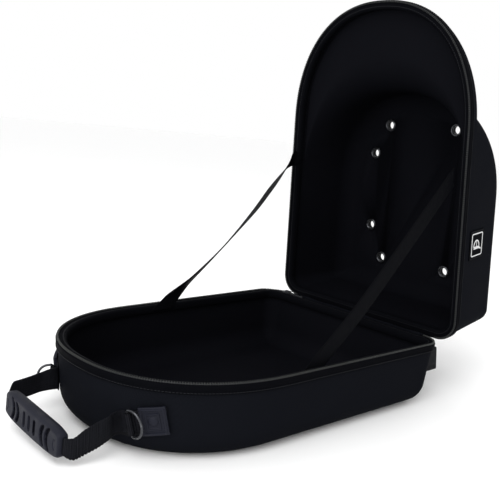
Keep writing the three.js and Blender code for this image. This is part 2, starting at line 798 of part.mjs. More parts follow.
// Zip slider parked at the left end of the tray's coil, with its pull lying along the rear rim
function zipSlider() {
  const seat = trayHeight - coilHeight;
  const bodyX = -(halfWidth - cornerRadius) + clearance + sliderLength / 2;
  const y = rearY - sliderWidth / 2 + bandThickness;
  const body = new THREE.BoxGeometry(sliderLength, sliderWidth, sliderHeight);
  body.translate(bodyX, y, seat + sliderHeight / 2);
  const pull = new THREE.BoxGeometry(pullLength, pullWidth, pullThickness);
  pull.translate(bodyX + (sliderLength + pullLength) / 2 - pullOverlap, y, seat + pullThickness / 2);
  return fromSolid(toSolid(body).add(toSolid(pull)));
}

// Eyelet: a barrel through the dome's back with a rolled flange on each face
function eyelet() {
  const inner = domeDepth - shellWall - clearance;
  const outer = domeDepth + clearance;
  const roll = eyeletFlange - (eyeletFlange - eyeletBore) / 2;
  const profile = [
    [eyeletBore, inner - eyeletRoll / 2],
    [roll, inner - eyeletRoll],
    [eyeletFlange, inner],
    [eyeletBarrel, inner],
    [eyeletBarrel, outer],
    [eyeletFlange, outer],
    [roll, outer + eyeletRoll],
    [eyeletBore, outer + eyeletRoll / 2],
  ];
  const points = [...profile, profile[0]].map(([r, z]) => new THREE.Vector2(r, z));
  const ring = new THREE.LatheGeometry(points, 12);
  ring.rotateX(Math.PI / 2);
  return ring;
}

// Assembly
const tray = new THREE.Group();
tray.position.set(0, rearY, 0);
tray.add(
  named("tray_shell", trayShell(), cloth),
  named("tray_rim_band", rimBand(trayRim), tape),
  named("tray_zip_coil", zipCoil(trayRim), coil),
);

const lid = new THREE.Group();
lid.position.copy(lidOrigin);
lid.rotation.x = -lidAngle;
lid.add(
  named("lid_shell", lidShell(), cloth),
  named("lid_rim_band", rimBand(lidRim), tape),
  named("lid_zip_coil", zipCoil(lidRim), coil),
  named("lid_label", lidLabel(), tape),
);
for (const { name, across, along } of ventPlaces) {
  const ring = named(name, eyelet(), metal);
  ring.position.set(across * halfWidth, -along * domeLength, 0);
  lid.add(ring);
}

const grip = named("handle_grip", handleGrip(), rubber);
grip.position.copy(gripMiddle);
grip.rotation.y = radians(gripTilt);

const capCase = new THREE.Group();
capCase.add(
  tray,
  lid,
  named("hinge_fabric", fabricHinge(), cloth),
  named("strap_right", restraintStrap(1, strapSagRight), webbing),
  named("strap_left", restraintStrap(-1, strapSagLeft), webbing),
  named("handle_webbing", handleWebbing(), webbing),
  grip,
  ...wallFittings(1, ringSwingRight),
  ...wallFittings(-1, ringSwingLeft),
  named("rear_tab_right", rearTab(1), webbing),
  named("rear_tab_left", rearTab(-1), webbing),
  named("zip_slider", zipSlider(), metal),
);

export default capCase;
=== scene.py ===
# %% [markdown]
# A moulded carrier case for baseball caps, standing open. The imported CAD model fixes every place
# and size. This script dresses it: each part of the model is replaced by a finer piece with its
# cloth, webbing, rubber or metal, in the same place. Sizes are in millimetres until a mesh is made.

# %% Load the frame
import math

import bpy
import numpy as np
from mathutils import Matrix, Vector


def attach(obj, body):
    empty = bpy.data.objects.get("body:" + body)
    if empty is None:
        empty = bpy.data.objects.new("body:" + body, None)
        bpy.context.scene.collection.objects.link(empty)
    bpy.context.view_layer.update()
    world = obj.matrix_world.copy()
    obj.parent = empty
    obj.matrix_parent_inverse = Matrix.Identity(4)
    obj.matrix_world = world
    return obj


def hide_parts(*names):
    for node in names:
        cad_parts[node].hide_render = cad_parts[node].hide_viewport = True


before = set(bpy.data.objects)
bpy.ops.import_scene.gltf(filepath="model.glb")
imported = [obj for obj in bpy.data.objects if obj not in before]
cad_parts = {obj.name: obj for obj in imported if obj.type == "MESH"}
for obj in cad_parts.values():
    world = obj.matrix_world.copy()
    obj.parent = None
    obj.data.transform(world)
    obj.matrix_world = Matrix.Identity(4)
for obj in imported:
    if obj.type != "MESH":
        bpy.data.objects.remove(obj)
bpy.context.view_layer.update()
METRES = 0.001

# %% [markdown]
# The camera comes first, because everything after it is judged through it. The photograph was
# taken from the front right, slightly above the rim, with the horizon tipped by a few degrees.
# A camera is only a place and three directions, so its matrix is built from yaw, pitch and roll.

# %% Camera
CAMERA_PLACE = Vector((0.55635, -0.53165, 0.29852))
YAW, PITCH, ROLL = 0.8015, 0.1503, 0.0978
FOCAL_PIXELS, FRAME_WIDTH, SENSOR = 708.2, 500, 36


def aim(yaw, pitch, roll):
    """The camera's rotation as a matrix whose columns are its right, up and back directions."""
    ahead = Vector((-math.sin(yaw) * math.cos(pitch), math.cos(yaw) * math.cos(pitch), -math.sin(pitch)))
    level = Vector((math.cos(yaw), math.sin(yaw), 0))
    upright = level.cross(ahead)
    right = level * math.cos(roll) + upright * math.sin(roll)
    up = upright * math.cos(roll) - level * math.sin(roll)
    return Matrix((right, up, -ahead)).transposed().to_4x4()


camera = bpy.data.objects.new("camera", bpy.data.cameras.new("camera"))
bpy.context.scene.collection.objects.link(camera)
camera.matrix_world = Matrix.Translation(CAMERA_PLACE) @ aim(YAW, PITCH, ROLL)
camera.data.sensor_width = SENSOR
camera.data.lens = FOCAL_PIXELS / FRAME_WIDTH * SENSOR
bpy.context.scene.camera = camera
print("lens:", round(camera.data.lens, 2), "mm")

# %% [markdown]
# Cloth, webbing and rubber differ mostly in how their surface scatters light, so the materials are
# node trees. Long node trees are hard to read, so a small class wraps one output socket and lets
# Python's own operators add the Math nodes: `1 - mask` becomes a Subtract node.

# %% A socket that Python can calculate with


class Signal:
    """One output of a node tree, which + - * / and some functions can work on."""

    def __init__(self, tree, socket):
        self.tree = tree
        self.socket = socket

    def math(self, operation, *values):
        """A Math node of these values, or of this signal alone."""
        inputs = dict(enumerate(values or (self,)))
        return node(self.tree, "ShaderNodeMath", {"operation": operation}, inputs)

    def __add__(self, other):
        return self.math("ADD", self, other)

    def __sub__(self, other):
        return self.math("SUBTRACT", self, other)

    def __rsub__(self, other):
        return self.math("SUBTRACT", other, self)

    def __mul__(self, other):
        return self.math("MULTIPLY", self, other)

    def __truediv__(self, other):
        return self.math("DIVIDE", self, other)

    def wave(self, length):
        """A sine between -1 and 1 that repeats after length."""
        return (self * (2 * math.pi / length)).math("SINE")

    def ramp(self, low, high, start=0.0, end=1.0):
        """start up to low and end from high on, with a soft step between them."""
        settings = {"interpolation_type": "SMOOTHSTEP"}
        sockets = {"Value": self, "From Min": low, "From Max": high, "To Min": start, "To Max": end}
        return node(self.tree, "ShaderNodeMapRange", settings, sockets)


def node(tree, kind, settings, sockets, output=0):
    """A new node: its settings go in first, then the values or links of its sockets."""
    made = tree.nodes.new(kind)
    for name, value in settings.items():
        setattr(made, name, value)
    for key, value in sockets.items():
        if isinstance(value, Signal):
            tree.links.new(value.socket, made.inputs[key])
        else:
            made.inputs[key].default_value = value
    return Signal(tree, made.outputs[output])


# %% [markdown]
# Every finish starts as the same Principled shader. What is the same all over is typed on its
# sockets, and only colour, roughness and bump vary. `Finish` keeps the few nodes that the
# recipes share: the place on the object, the UV map in metres, noise, colour and roughness.

# %% One finish


class Finish:
    """A Principled material, with the helpers that the recipes below share."""

    def __init__(self, name, **fixed):
        self.material = bpy.data.materials.new(name)
        self.material.use_nodes = True
        self.tree = self.material.node_tree
        self.shader = self.tree.nodes["Principled BSDF"]
        for socket, value in fixed.items():
            self.shader.inputs[socket.replace("_", " ")].default_value = value

    def place(self):
        where = node(self.tree, "ShaderNodeTexCoord", {}, {}, "Object")
        return where, self.parts(where)

    def cloth_place(self):
        where = node(self.tree, "ShaderNodeUVMap", {}, {})
        return where, self.parts(where)

    def parts(self, vector):
        return [node(self.tree, "ShaderNodeSeparateXYZ", {}, {0: vector}, i) for i in range(3)]

    def noise(self, where, scale, detail=2):
        sockets = {"Vector": where, "Scale": scale, "Detail": detail}
        return node(self.tree, "ShaderNodeTexNoise", {}, sockets)

    def paint(self, share, low, high):
        """Colour between low and high, by share."""
        sockets = {0: share, 6: (*low, 1), 7: (*high, 1)}
        self.feed("Base Color", node(self.tree, "ShaderNodeMix", {"data_type": "RGBA"}, sockets, 2))

    def roughen(self, share, start, end, low=0.3, high=0.7):
        self.feed("Roughness", share.ramp(low, high, start, end))

    def bump(self, height, distance):
        sockets = {"Height": height, "Distance": distance}
        self.feed("Normal", node(self.tree, "ShaderNodeBump", {}, sockets))

    def feed(self, socket, signal):
        self.tree.links.new(signal.socket, self.shader.inputs[socket])


def speckled(name, shine, scale, dark, light, rough):
    """A finish whose colour and roughness follow one noise."""
    finish = Finish(name, Specular_IOR_Level=shine)
    speck = finish.noise(finish.place()[0], scale)
    finish.paint(speck, dark, light)
    finish.roughen(speck, *rough)
    return finish


# %% [markdown]
# Shell cloth: a tight black polyester laminated on the moulded foam. The threads are about half a
# millimetre wide, so from a step away they only soften the highlight. Two crossed sine waves on
# the object's own x, y and z give a plain weave that looks alike on walls, floor and corners.

# %% Shell cloth
THREAD = 0.0009


def woven(finish, thread):
    """A plain weave on any face, from 0 in the gaps to 1 on the threads, and the place it is at."""
    where, (x, y, z) = finish.place()
    crossed = (x + z).wave(thread) * (y + z).wave(thread)
    return crossed * 0.5 + 0.5, where


shell_cloth = Finish("shell_cloth", Specular_IOR_Level=0.003)
weave, spot = woven(shell_cloth, THREAD)
cloudy = shell_cloth.noise(spot, 14, 3)
shell_cloth.paint(cloudy * 0.6 + weave * 0.4, (0.0042, 0.0046, 0.0062), (0.0064, 0.0070, 0.0094))
shell_cloth.roughen(cloudy, 0.56, 0.68)
shell_cloth.bump(weave * 0.7 + shell_cloth.noise(spot, 900) * 0.6 + cloudy * 0.8, 0.00012)
print("shell cloth threads:", THREAD * 1000, "mm")

# %% [markdown]
# Lining: the inside is a smooth brushed knit that takes nearly all light. It is darker than the
# outside, and large soft unevenness from the foam's moulding shows only where light grazes it.

# %% Lining
KNIT = 0.0012
lining = Finish("lining", Specular_IOR_Level=0.004)
knit, spot = woven(lining, KNIT)
cloudy = lining.noise(spot, 9, 3)
lining.paint(cloudy, (0.0030, 0.0031, 0.0043), (0.0048, 0.0050, 0.0066))
lining.roughen(cloudy, 0.6, 0.74)
lining.bump(knit * 0.4 + cloudy * 1.4 + lining.noise(spot, 45) * 0.6, 0.00025)

# %% [markdown]
# Binding tape: a narrow twill folded over each rim. Its UV map runs across the tape in u and round
# the rim in v, both in metres, so diagonal ribs are one sine wave of u + v.

# %% Binding tape
TWILL = 0.0011
tape = Finish("binding_tape", Specular_IOR_Level=0.005)
spot, (across, along, _) = tape.cloth_place()
twill = (across + along).wave(TWILL) * 0.5 + 0.5
cloudy = tape.noise(spot, 60, 3)
tape.paint(twill * 0.5 + cloudy * 0.5, (0.0016, 0.0017, 0.0024), (0.0036, 0.0038, 0.0050))
tape.roughen(cloudy, 0.5, 0.66)
tape.bump(twill * 0.8 + cloudy * 1.2, 0.00016)

# %% [markdown]
# Webbing: straps, handle and tabs are woven with thick cross threads, which stand up as ribs 1.3 mm
# apart, and a flat woven edge. The ribs fade out over the edge, so the mask is taken from u.

# %% Webbing
RIB, CORD = 0.0013, 0.0019


def webbing_finish(name, width, tone, shine):
    finish = Finish(name, Specular_IOR_Level=shine)
    spot, (across, along, _) = finish.cloth_place()
    edge = (across / width - 0.5).math("ABSOLUTE").ramp(0.40, 0.45)
    rib = (along.wave(RIB) * 0.5 + 0.5) * (1 - edge)
    cords = across.wave(CORD) * 0.5 + 0.5
    cloudy = finish.noise(spot, 130, 3)
    finish.paint(rib * 0.5 + cloudy * 0.35 + cords * 0.15, (0.0012, 0.0013, 0.0017),
                 (0.0110 * tone, 0.0115 * tone, 0.0150 * tone))
    finish.roughen(cloudy, 0.46, 0.64)
    finish.bump(rib * 1.2 + cords * 0.4 + cloudy * 0.5, 0.00022)
    return finish


strap_webbing = webbing_finish("strap_webbing", 0.020, 0.5, 0.014)
handle_tape = webbing_finish("handle_webbing", 0.024, 1.0, 0.04)
print("webbing ribs:", RIB * 1000, "mm")

# %% [markdown]
# Rubber: the grip and the two anchor patches are moulded in a matt navy-charcoal rubber. Two noises
# give the fine spark-eroded grain of the mould and the slightly polished spots that hands leave.
# The faces inside the grip's slots get a darker rubber, painted shade for the shade that falls in them.

# %% Moulded rubber
rubber = Finish("moulded_rubber", Specular_IOR_Level=0.1)
spot, _ = rubber.place()
handled = rubber.noise(spot, 55, 3)
rubber.paint(handled, (0.0070, 0.0076, 0.0125), (0.0110, 0.0119, 0.0190))
rubber.roughen(handled, 0.42, 0.6, 0.35, 0.65)
rubber.bump(rubber.noise(spot, 1400) * 0.8 + handled * 0.8, 0.00012)
slot_painted_shade = speckled("slot_painted_shade", 0.05, 300, (0.0008, 0.0009, 0.0026),
                       (0.0018, 0.0020, 0.0045), (0.6, 0.75))

# %% [markdown]
# Black metal: eyelets, D-rings and the slider are lacquered steel. Lacquer is glossy, thins a
# little on the high spots, and has fine orange-peel, which a low bump of coarse noise gives. The
# insides of the eyelets' tubes get a dull, nearly black finish as painted shade for the tube's shade.

# %% Lacquered metal
metal = Finish("black_metal", Metallic=0.85, Specular_IOR_Level=0.5)
spot, _ = metal.place()
peel = metal.noise(spot, 500)
metal.paint(metal.noise(spot, 160, 3).ramp(0.55, 0.75), (0.055, 0.057, 0.063), (0.15, 0.155, 0.165))
metal.roughen(peel, 0.2, 0.34)
metal.bump(peel, 0.00004)
tube_painted_shade = speckled("tube_painted_shade", 0.05, 400, (0.0010, 0.0010, 0.0014),
                      (0.0028, 0.0029, 0.0036), (0.6, 0.75))

# %% [markdown]
# Zip coil and sewing thread: both are small, so a colour that varies from tooth to tooth and from
# stitch to stitch does more than any bump. Nylon teeth are a dark grey that catches light.

# %% Zip coil and thread
nylon = speckled("zip_nylon", 0.12, 420, (0.016, 0.017, 0.016), (0.050, 0.052, 0.050), (0.3, 0.45))
thread = speckled("sewing_thread", 0.15, 700, (0.006, 0.0064, 0.008), (0.014, 0.0148, 0.018), (0.45, 0.6))

# %% [markdown]
# The label's white parts are woven, not printed: a satin weave in off-white polyester.

# %% White label yarn
label_yarn = Finish("label_yarn", Sheen_Weight=0.2, Specular_IOR_Level=0.4)
spot, (x, y, z) = label_yarn.place()
satin = z.wave(0.0007) * (y + x).wave(0.0011) * 0.5 + 0.5
label_yarn.paint(satin, (0.50, 0.50, 0.51), (0.74, 0.74, 0.74))
label_yarn.roughen(satin, 0.5, 0.65, 0.2, 0.8)
label_yarn.bump(satin, 0.0001)

# %% [markdown]
# The pieces are grids of points: rings stacked along a profile for the shells, and rows along a
# path for webbing. One function turns such a grid into a mesh with a UV map in metres, so that
# a weave keeps its size on every piece.

# %% Grids into meshes


def lengths(points):
    """How far along a row of points each one is, in metres."""
    steps = np.linalg.norm(np.diff(points, axis=0), axis=1)
    return np.concatenate([[0], np.cumsum(steps)]) * METRES


def unit(vectors):
    return vectors / np.maximum(np.linalg.norm(vectors, axis=-1, keepdims=True), 1e-9)


def closed(line):
    """A row of points with its first one again at the end."""
    return np.concatenate([line, line[:1]])


def points_at(marks, run, points):
    """The places at some distances along a row of points."""
    return np.stack([np.interp(marks, run, column) for column in np.transpose(points)], axis=1)


def make_object(name, vertices, faces, finishes, uv=None, slots=None, angle=40):
    """A smooth-shaded object from points in millimetres. slots gives each face's material."""
    mesh = bpy.data.meshes.new(name)
    mesh.from_pydata([tuple(v) for v in np.asarray(vertices) * METRES], [], [tuple(f) for f in faces])
    for finish in finishes:
        mesh.materials.append(finish.material)
    if slots is not None:
        mesh.polygons.foreach_set("material_index", slots)
    mesh.polygons.foreach_set("use_smooth", [True] * len(mesh.polygons))
    mesh.set_sharp_from_angle(angle=math.radians(angle))
    if uv is not None:
        layer = mesh.uv_layers.new(name="cloth")
        layer.data.foreach_set("uv", [c for corner in uv for c in corner])
    made = bpy.data.objects.new(name, mesh)
    bpy.context.scene.collection.objects.link(made)
    return made


def grid_faces(rows, columns, wrap_rows=False, wrap_columns=False):
    """Quads between neighbouring rows and columns, and the corner numbers that their UVs need."""
    faces, corners = [], []
    for r in range(rows if wrap_rows else rows - 1):
        for c in range(columns if wrap_columns else columns - 1):
            quad = [(r, c), (r, c + 1), (r + 1, c + 1), (r + 1, c)]
            faces.append([(i % rows) * columns + j % columns for i, j in quad])
            corners.extend(quad)
    return faces, corners


def tube_faces(rows, columns):
    """Quads round a tube, and the caps that close its two ends."""
    faces, _ = grid_faces(rows, columns, wrap_columns=True)
    last = (rows - 1) * columns
    return [*faces, list(range(columns))[::-1], list(range(last, last + columns))]


def prism(low, high):
    """The solid between two outlines that have as many points."""
    return [*low, *high], tube_faces(2, len(low))


def joined(shapes):
    """Several (points, faces) shapes as one."""
    points, faces = [], []
    for shape_points, shape_faces in shapes:
        faces += [[i + len(points) for i in face] for face in shape_faces]
        points.extend(shape_points)
    return points, faces


def rounding(radius, steps):
    """(inset, rise) pairs of a rounded edge, from flat to upright."""
    return [(radius * (1 - math.sin(t)), radius * (1 - math.cos(t)))
            for t in np.linspace(0, math.pi / 2, steps)]


# %% [markdown]
# Plan of both shells: straight, slightly tapering sides, round rear corners and a front like a
# blunt arch. The arch is a superellipse, the curve between an ellipse and a rectangle, so one
# exponent sets how square its shoulders are.

# %% Plan of the shells
CASE_LENGTH, HALF_WIDTH, PLAN_TAPER = 400, 141.6, 0.077
ARCH_LENGTH, ARCH_POWER, CORNER_RADIUS, SHELL_WALL = 150, 2.26, 26, 4.5
REAR_Y = CASE_LENGTH / 2
CORNER_STEPS, SIDE_STEPS, FRONT_STEPS, BACK_STEPS = 10, 16, 44, 16


def taper(y):
    return 1 + PLAN_TAPER * y / CASE_LENGTH


def arch_point(half, reach, arch, angle):
    y = -(reach - arch) - arch * np.sin(angle) ** (2 / ARCH_POWER)
    x = half * np.maximum(np.cos(angle), 0) ** (2 / ARCH_POWER)
    return x * taper(y), y


def plan_ring(side, rear, reach, arch, z):
    """One closed outline at height z. y is 0 at the rear and -reach at the rounded front."""
    half = HALF_WIDTH - side
    radius = max(CORNER_RADIUS - max(side, rear), 1)
    turn = np.linspace(0, math.pi / 2, CORNER_STEPS + 1)
    corner_y = -rear - radius + radius * np.cos(turn)
    corner_x = (half - radius + radius * np.sin(turn)) * taper(corner_y)
    side_y = np.linspace(-rear - radius, -(reach - arch), SIDE_STEPS + 1)[1:]
    side_x = half * taper(side_y)
    front_x, front_y = arch_point(half, reach, arch, np.linspace(0, math.pi / 2, FRONT_STEPS + 1)[1:])
    x = np.concatenate([corner_x, side_x, front_x])
    y = np.concatenate([corner_y, side_y, front_y])
    back_x = np.linspace(-x[0], x[0], BACK_STEPS + 1)[1:-1]
    x = np.concatenate([x, -x[-2::-1], back_x])
    y = np.concatenate([y, y[-2::-1], np.full(BACK_STEPS - 1, y[0])])
    return np.stack([x, y, np.full_like(x, z)], axis=1)


# %% [markdown]
# The tray's wall leans out a little, as any moulding must to leave its mould, and rolls into the
# flat underside. Its profile is a list of (inset, height) pairs, first up the outside and then
# down the inside, and each pair is one ring of the plan.

# %% Tray
TRAY_HEIGHT, TRAY_DRAFT, TRAY_RADIUS = 78, 5, 28
COIL_WIDTH, COIL_HEIGHT, CLEARANCE, BAND = 2.2, 1.6, 0.3, 1.6
BAND_SKIRT, LIP_REACH, LIP_BEVEL = 11, 9, 2.5
RIM_STACK = COIL_HEIGHT + CLEARANCE + BAND + CLEARANCE


def tray_inset(z):
    if z >= TRAY_RADIUS:
        return TRAY_DRAFT * (TRAY_HEIGHT - z) / (TRAY_HEIGHT - TRAY_RADIUS)
    fall = 1 - z / TRAY_RADIUS
    return TRAY_DRAFT + TRAY_RADIUS * (1 - math.sqrt(1 - fall * fall))


def tray_ring(inset, z):
    ring = plan_ring(inset, inset, CASE_LENGTH - inset, ARCH_LENGTH - inset, z)
    return ring + [0, REAR_Y, 0]


def tray_rim(extra, depth):
    return tray_ring(tray_inset(TRAY_HEIGHT - depth) + extra, TRAY_HEIGHT - depth)


def shell_mesh(name, outside, inside):
    """A shell with a rim, from rings that run from its back to the rim and back down inside."""
    rings = np.array([*outside, *inside])
    rows, columns = rings.shape[:2]
    points = rings.reshape(-1, 3)
    faces, corners = grid_faces(rows, columns, wrap_columns=True)
    across, round_rim = lengths(rings[:, 0]), lengths(closed(outside[-1]))
    uv = [(across[r], round_rim[c]) for r, c in corners]
    for cap in tube_faces(rows, columns)[-2:]:
        faces.append(cap)
        uv.extend(points[cap, :2] * METRES)
    slots = [int(r >= len(outside)) for r in range(rows - 1) for _ in range(columns)] + [0, 1]
    return make_object(name, points, faces, [shell_cloth, lining], uv, slots, 60)


def dress(piece, node_name, body="case"):
    """The piece moves with the body and stands for its CAD node."""
    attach(piece, body)
    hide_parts(node_name)
    print(piece.name, "for", node_name)


wall_heights = np.linspace(TRAY_RADIUS, TRAY_HEIGHT - RIM_STACK, 8)
tray_outside = [tray_ring(TRAY_DRAFT + inset, rise) for inset, rise in rounding(TRAY_RADIUS, 10)]
tray_outside += [tray_ring(tray_inset(z), z) for z in wall_heights[1:]]
tray_inside = [tray_ring(tray_inset(z) + SHELL_WALL, z) for z in wall_heights[:0:-1]]
tray_inside += [tray_ring(TRAY_DRAFT + SHELL_WALL + inset, SHELL_WALL + rise)
                for inset, rise in rounding(TRAY_RADIUS - SHELL_WALL, 10)[::-1]]
tray = shell_mesh("tray", tray_outside, tray_inside)
dress(tray, "tray_shell")

# %% [markdown]
# The lid is a shallow slab as large as the tray, with a deep dome on its rear part. It is worked
# out as it lies closed, with depth growing from the rim to the dome's back, and then swung open
# by 85 degrees about a line behind the tray.

# %% Lid
SLAB_DEPTH, SLAB_RADIUS, SLAB_DRAFT = 22, 6, 1
DOME_LENGTH, DOME_ARCH, DOME_DEPTH = 300, 136, 118
DOME_SIDE_DRAFT, DOME_END_DRAFT, DOME_RADIUS, DOME_FILLET = 13, 5.6, 27, 40
OPEN_ANGLE, HINGE_SET_BACK, HINGE_DROP = 85, 24, 7
LID_TURN = np.array(Matrix.Rotation(-math.radians(OPEN_ANGLE), 3, "X"))
LID_ORIGIN = np.array([0, REAR_Y + HINGE_SET_BACK, TRAY_HEIGHT - HINGE_DROP])


def lid_to_case(points):
    return np.asarray(points, float) @ LID_TURN.T + LID_ORIGIN


def lid_ring(depth, extra, reach, arch, front):
    """A ring of the lid at a depth. extra draws it in all round, and front at its front alone."""
    side = DOME_SIDE_DRAFT * depth / DOME_DEPTH + extra
    rear = DOME_END_DRAFT * depth / DOME_DEPTH + extra
    return lid_to_case(plan_ring(side, rear, reach - extra - front, arch - extra - front, depth))


def slab_ring(depth, extra, round_off=0):
    return lid_ring(depth, extra, CASE_LENGTH, ARCH_LENGTH, SLAB_DRAFT * depth / SLAB_DEPTH + round_off)


def dome_ring(depth, extra, forward=0):
    return lid_ring(depth, extra, DOME_LENGTH, DOME_ARCH, DOME_END_DRAFT * depth / DOME_DEPTH - forward)


def lid_rim(extra, depth):
    return slab_ring(depth, extra)


def lid_face(wall):
    """Rings from the dome's back to the rim: the outer face, or the inner one a wall inside it."""
    rings = [dome_ring(DOME_DEPTH - wall - rise, wall + inset)
             for inset, rise in rounding(DOME_RADIUS - wall, 10)]
    dome_depths = np.linspace(DOME_DEPTH - DOME_RADIUS, SLAB_DEPTH + DOME_FILLET, 8)[1:-1]
    rings += [dome_ring(depth, wall) for depth in dome_depths]
    rings += [dome_ring(SLAB_DEPTH - wall + inset, wall, rise)
              for inset, rise in rounding(DOME_FILLET + wall, 15)]
    rings += [slab_ring(SLAB_DEPTH - wall - rise, wall, inset)
              for inset, rise in rounding(SLAB_RADIUS - wall, 6)]
    slab_depths = np.linspace(SLAB_DEPTH - SLAB_RADIUS, RIM_STACK, 4)[1:]
    return rings + [slab_ring(depth, wall) for depth in slab_depths]


VENT_RADIUS = 6.3
VENT_SHARES = [(0.372, 0.819), (0.531, 0.681), (0.531, 0.327), (0.372, 0.174)]
VENT_PLACES = [(x * HALF_WIDTH * side, -y * DOME_LENGTH) for side in (1, -1) for x, y in VENT_SHARES]
lid = shell_mesh("lid", lid_face(0), lid_face(SHELL_WALL)[::-1])

# %% [markdown]
# Eight vent holes go through the dome's back. A Boolean modifier cuts them, and its result is
# kept as the mesh, so nothing is left to compute when the lid is shown.

# %% Vent holes


LID_OUT = LID_TURN @ np.array([0, 0, 1])
CUTTER_REACH, CUTTER_SIDES = 10, 32


def vent_cutter(x, y):
    """A plain closed cylinder through the dome's back."""
    ends = [[(x - VENT_RADIUS * math.sin(a), y + VENT_RADIUS * math.cos(a), DOME_DEPTH + reach)
             for a in np.linspace(0, 2 * math.pi, CUTTER_SIDES, endpoint=False)]
            for reach in (-CUTTER_REACH, CUTTER_REACH)]
    return prism(lid_to_case(ends[0]), lid_to_case(ends[1]))


def cut(piece, cutters):
    """Cuts closed shapes out of the piece and keeps the result as its mesh."""
    tool = make_object("cutter", *joined(cutters), [])
    modifier = piece.modifiers.new("cut", "BOOLEAN")
    modifier.object = tool
    modifier.solver = "EXACT"
    evaluated = piece.evaluated_get(bpy.context.evaluated_depsgraph_get())
    mesh = bpy.data.meshes.new_from_object(evaluated)
    piece.modifiers.clear()
    piece.data = mesh
    bpy.data.objects.remove(tool)


cut(lid, [vent_cutter(x, y) for x, y in VENT_PLACES])
dress(lid, "lid_shell")
print("lid faces:", len(lid.data.polygons))

# %% [markdown]
# A binding tape covers each shell's raw edge: a skirt outside, a cover over the edge and a
# bevelled lip inside. A sewn tape is never quite even, so its skirt is puckered by two slow
# waves of about a tenth of a millimetre.

# %% Rim bindings
TOP = COIL_HEIGHT + CLEARANCE
SKIRT_FACE = -CLEARANCE - BAND
BINDING_PROFILE = [
    (SKIRT_FACE + 0.1, BAND_SKIRT),
    (SKIRT_FACE - 0.1, BAND_SKIRT - 0.5),
    (SKIRT_FACE - 0.1, BAND_SKIRT - 2.2),
    (SKIRT_FACE + 0.25, BAND_SKIRT - 2.9),
    (SKIRT_FACE - 0.1, BAND_SKIRT - 3.6),
    (SKIRT_FACE, TOP + 2.6),
    (SKIRT_FACE, TOP + 0.9),
    (SKIRT_FACE + 0.25, TOP + 0.35),
    (-CLEARANCE - BAND / 2, TOP),
    (1.5, TOP),
    (3.4, TOP + 0.35),
    (4.2, TOP),
    (LIP_REACH - LIP_BEVEL, TOP),
    (LIP_REACH - 1, TOP + 0.8),
    (LIP_REACH, TOP + LIP_BEVEL),
    (LIP_REACH, BAND_SKIRT - 1),
    (LIP_REACH - 0.6, BAND_SKIRT),
    (SHELL_WALL + CLEARANCE, BAND_SKIRT),
    (SHELL_WALL + CLEARANCE, TOP + BAND),
    (-CLEARANCE, TOP + BAND),
    (-CLEARANCE, BAND_SKIRT),
]
PUCKERED_ROWS = ((1, 1), (2, 1), (4, 0.8), (5, 0.5))


def binding(name, rim, node_name):
    rings = np.array([rim(extra, depth) for extra, depth in BINDING_PROFILE])
    along = lengths(closed(rings[0]))
    turn = 2 * math.pi * along[:-1] / METRES
    pucker = 0.09 * np.sin(turn / 9.1) + 0.07 * np.sin(turn / 23.7 + 1)
    for row, weight in PUCKERED_ROWS:
        rings[row] += unit(rings[row] - rings[row].mean(axis=0)) * (pucker * weight)[:, None]
    faces, corners = grid_faces(*rings.shape[:2], True, True)
    across = lengths(closed(rings[:, 0]))
    uv = [(across[r], along[c]) for r, c in corners]
    dress(make_object(name, rings.reshape(-1, 3), faces, [tape], uv, angle=50), node_name)


binding("tray_binding", tray_rim, "tray_rim_band")
binding("lid_binding", lid_rim, "lid_rim_band")

# %% [markdown]
# Zip teeth: a nylon coil shows one small hump every 2.4 millimetres along the tape's outer edge.
# Each hump is a short rounded block, and all of them are one mesh, since a modifier or hundreds
# of objects would only slow the file down. A low cord under them joins the humps.

# %% Zip teeth
TOOTH_PITCH = 2.4
TOOTH_OUTLINE = [(-1, 0), (-1, 0.62), (-0.62, 1), (0.62, 1), (1, 0.62), (1, 0)]
TOOTH_ROWS = [(-0.4, 0.72), (-0.24, 1), (0.24, 1), (0.4, 0.72)]
CORD_HALF, CORD_HEIGHT = 0.9, 0.5
CORD_OUTLINE = [(-1, 0), (-1, 1), (1, 1), (1, 0)]


def tooth_places(rim, depth):
    """Points one pitch apart on a rim, from one rear corner round the front to the other."""
    line = rim(COIL_WIDTH / 2 - CLEARANCE - BAND / 2, depth)[: 1 - BACK_STEPS]
    run = lengths(line) / METRES
    return points_at(np.linspace(0, run[-1], int(round(run[-1] / TOOTH_PITCH)) + 1), run, line)


def zip_teeth(name, rim, node_name):
    low, high = tooth_places(rim, COIL_HEIGHT), tooth_places(rim, 0)
    count = min(len(low), len(high))
    low, high = low[:count], high[:count]
    ahead = unit(np.gradient(low, axis=0))
    up = unit(high - low)
    out = np.cross(ahead, up)
    tooth_faces = tube_faces(len(TOOTH_ROWS), len(TOOTH_OUTLINE))
    teeth = []
    for place, forward, aside, upward in zip(low, ahead, out * COIL_WIDTH / 2, up * COIL_HEIGHT):
        teeth.append(([place + forward * reach + (aside * side + upward * rise) * swell
                       for reach, swell in TOOTH_ROWS for side, rise in TOOTH_OUTLINE], tooth_faces))
    cord = np.stack([low + out * side * CORD_HALF + up * rise * CORD_HEIGHT
                     for side, rise in CORD_OUTLINE], axis=1).reshape(-1, 3)
    cord_faces = tube_faces(count, len(CORD_OUTLINE))
    points, faces = joined([*teeth, (cord, cord_faces)])
    slots = [0] * (len(faces) - len(cord_faces)) + [1] * len(cord_faces)
    dress(make_object(name, points, faces, [nylon, thread], slots=slots, angle=30), node_name)
    print(count, "teeth")


zip_teeth("tray_zip_teeth", tray_rim, "tray_zip_coil")
zip_teeth("lid_zip_teeth", lid_rim, "lid_zip_coil")

# %% [markdown]
# Stitches: real thread lies on the cloth as a short bar and dives at both ends. One function lays
# such bars along any row of points, in one mesh.

# %% Stitches


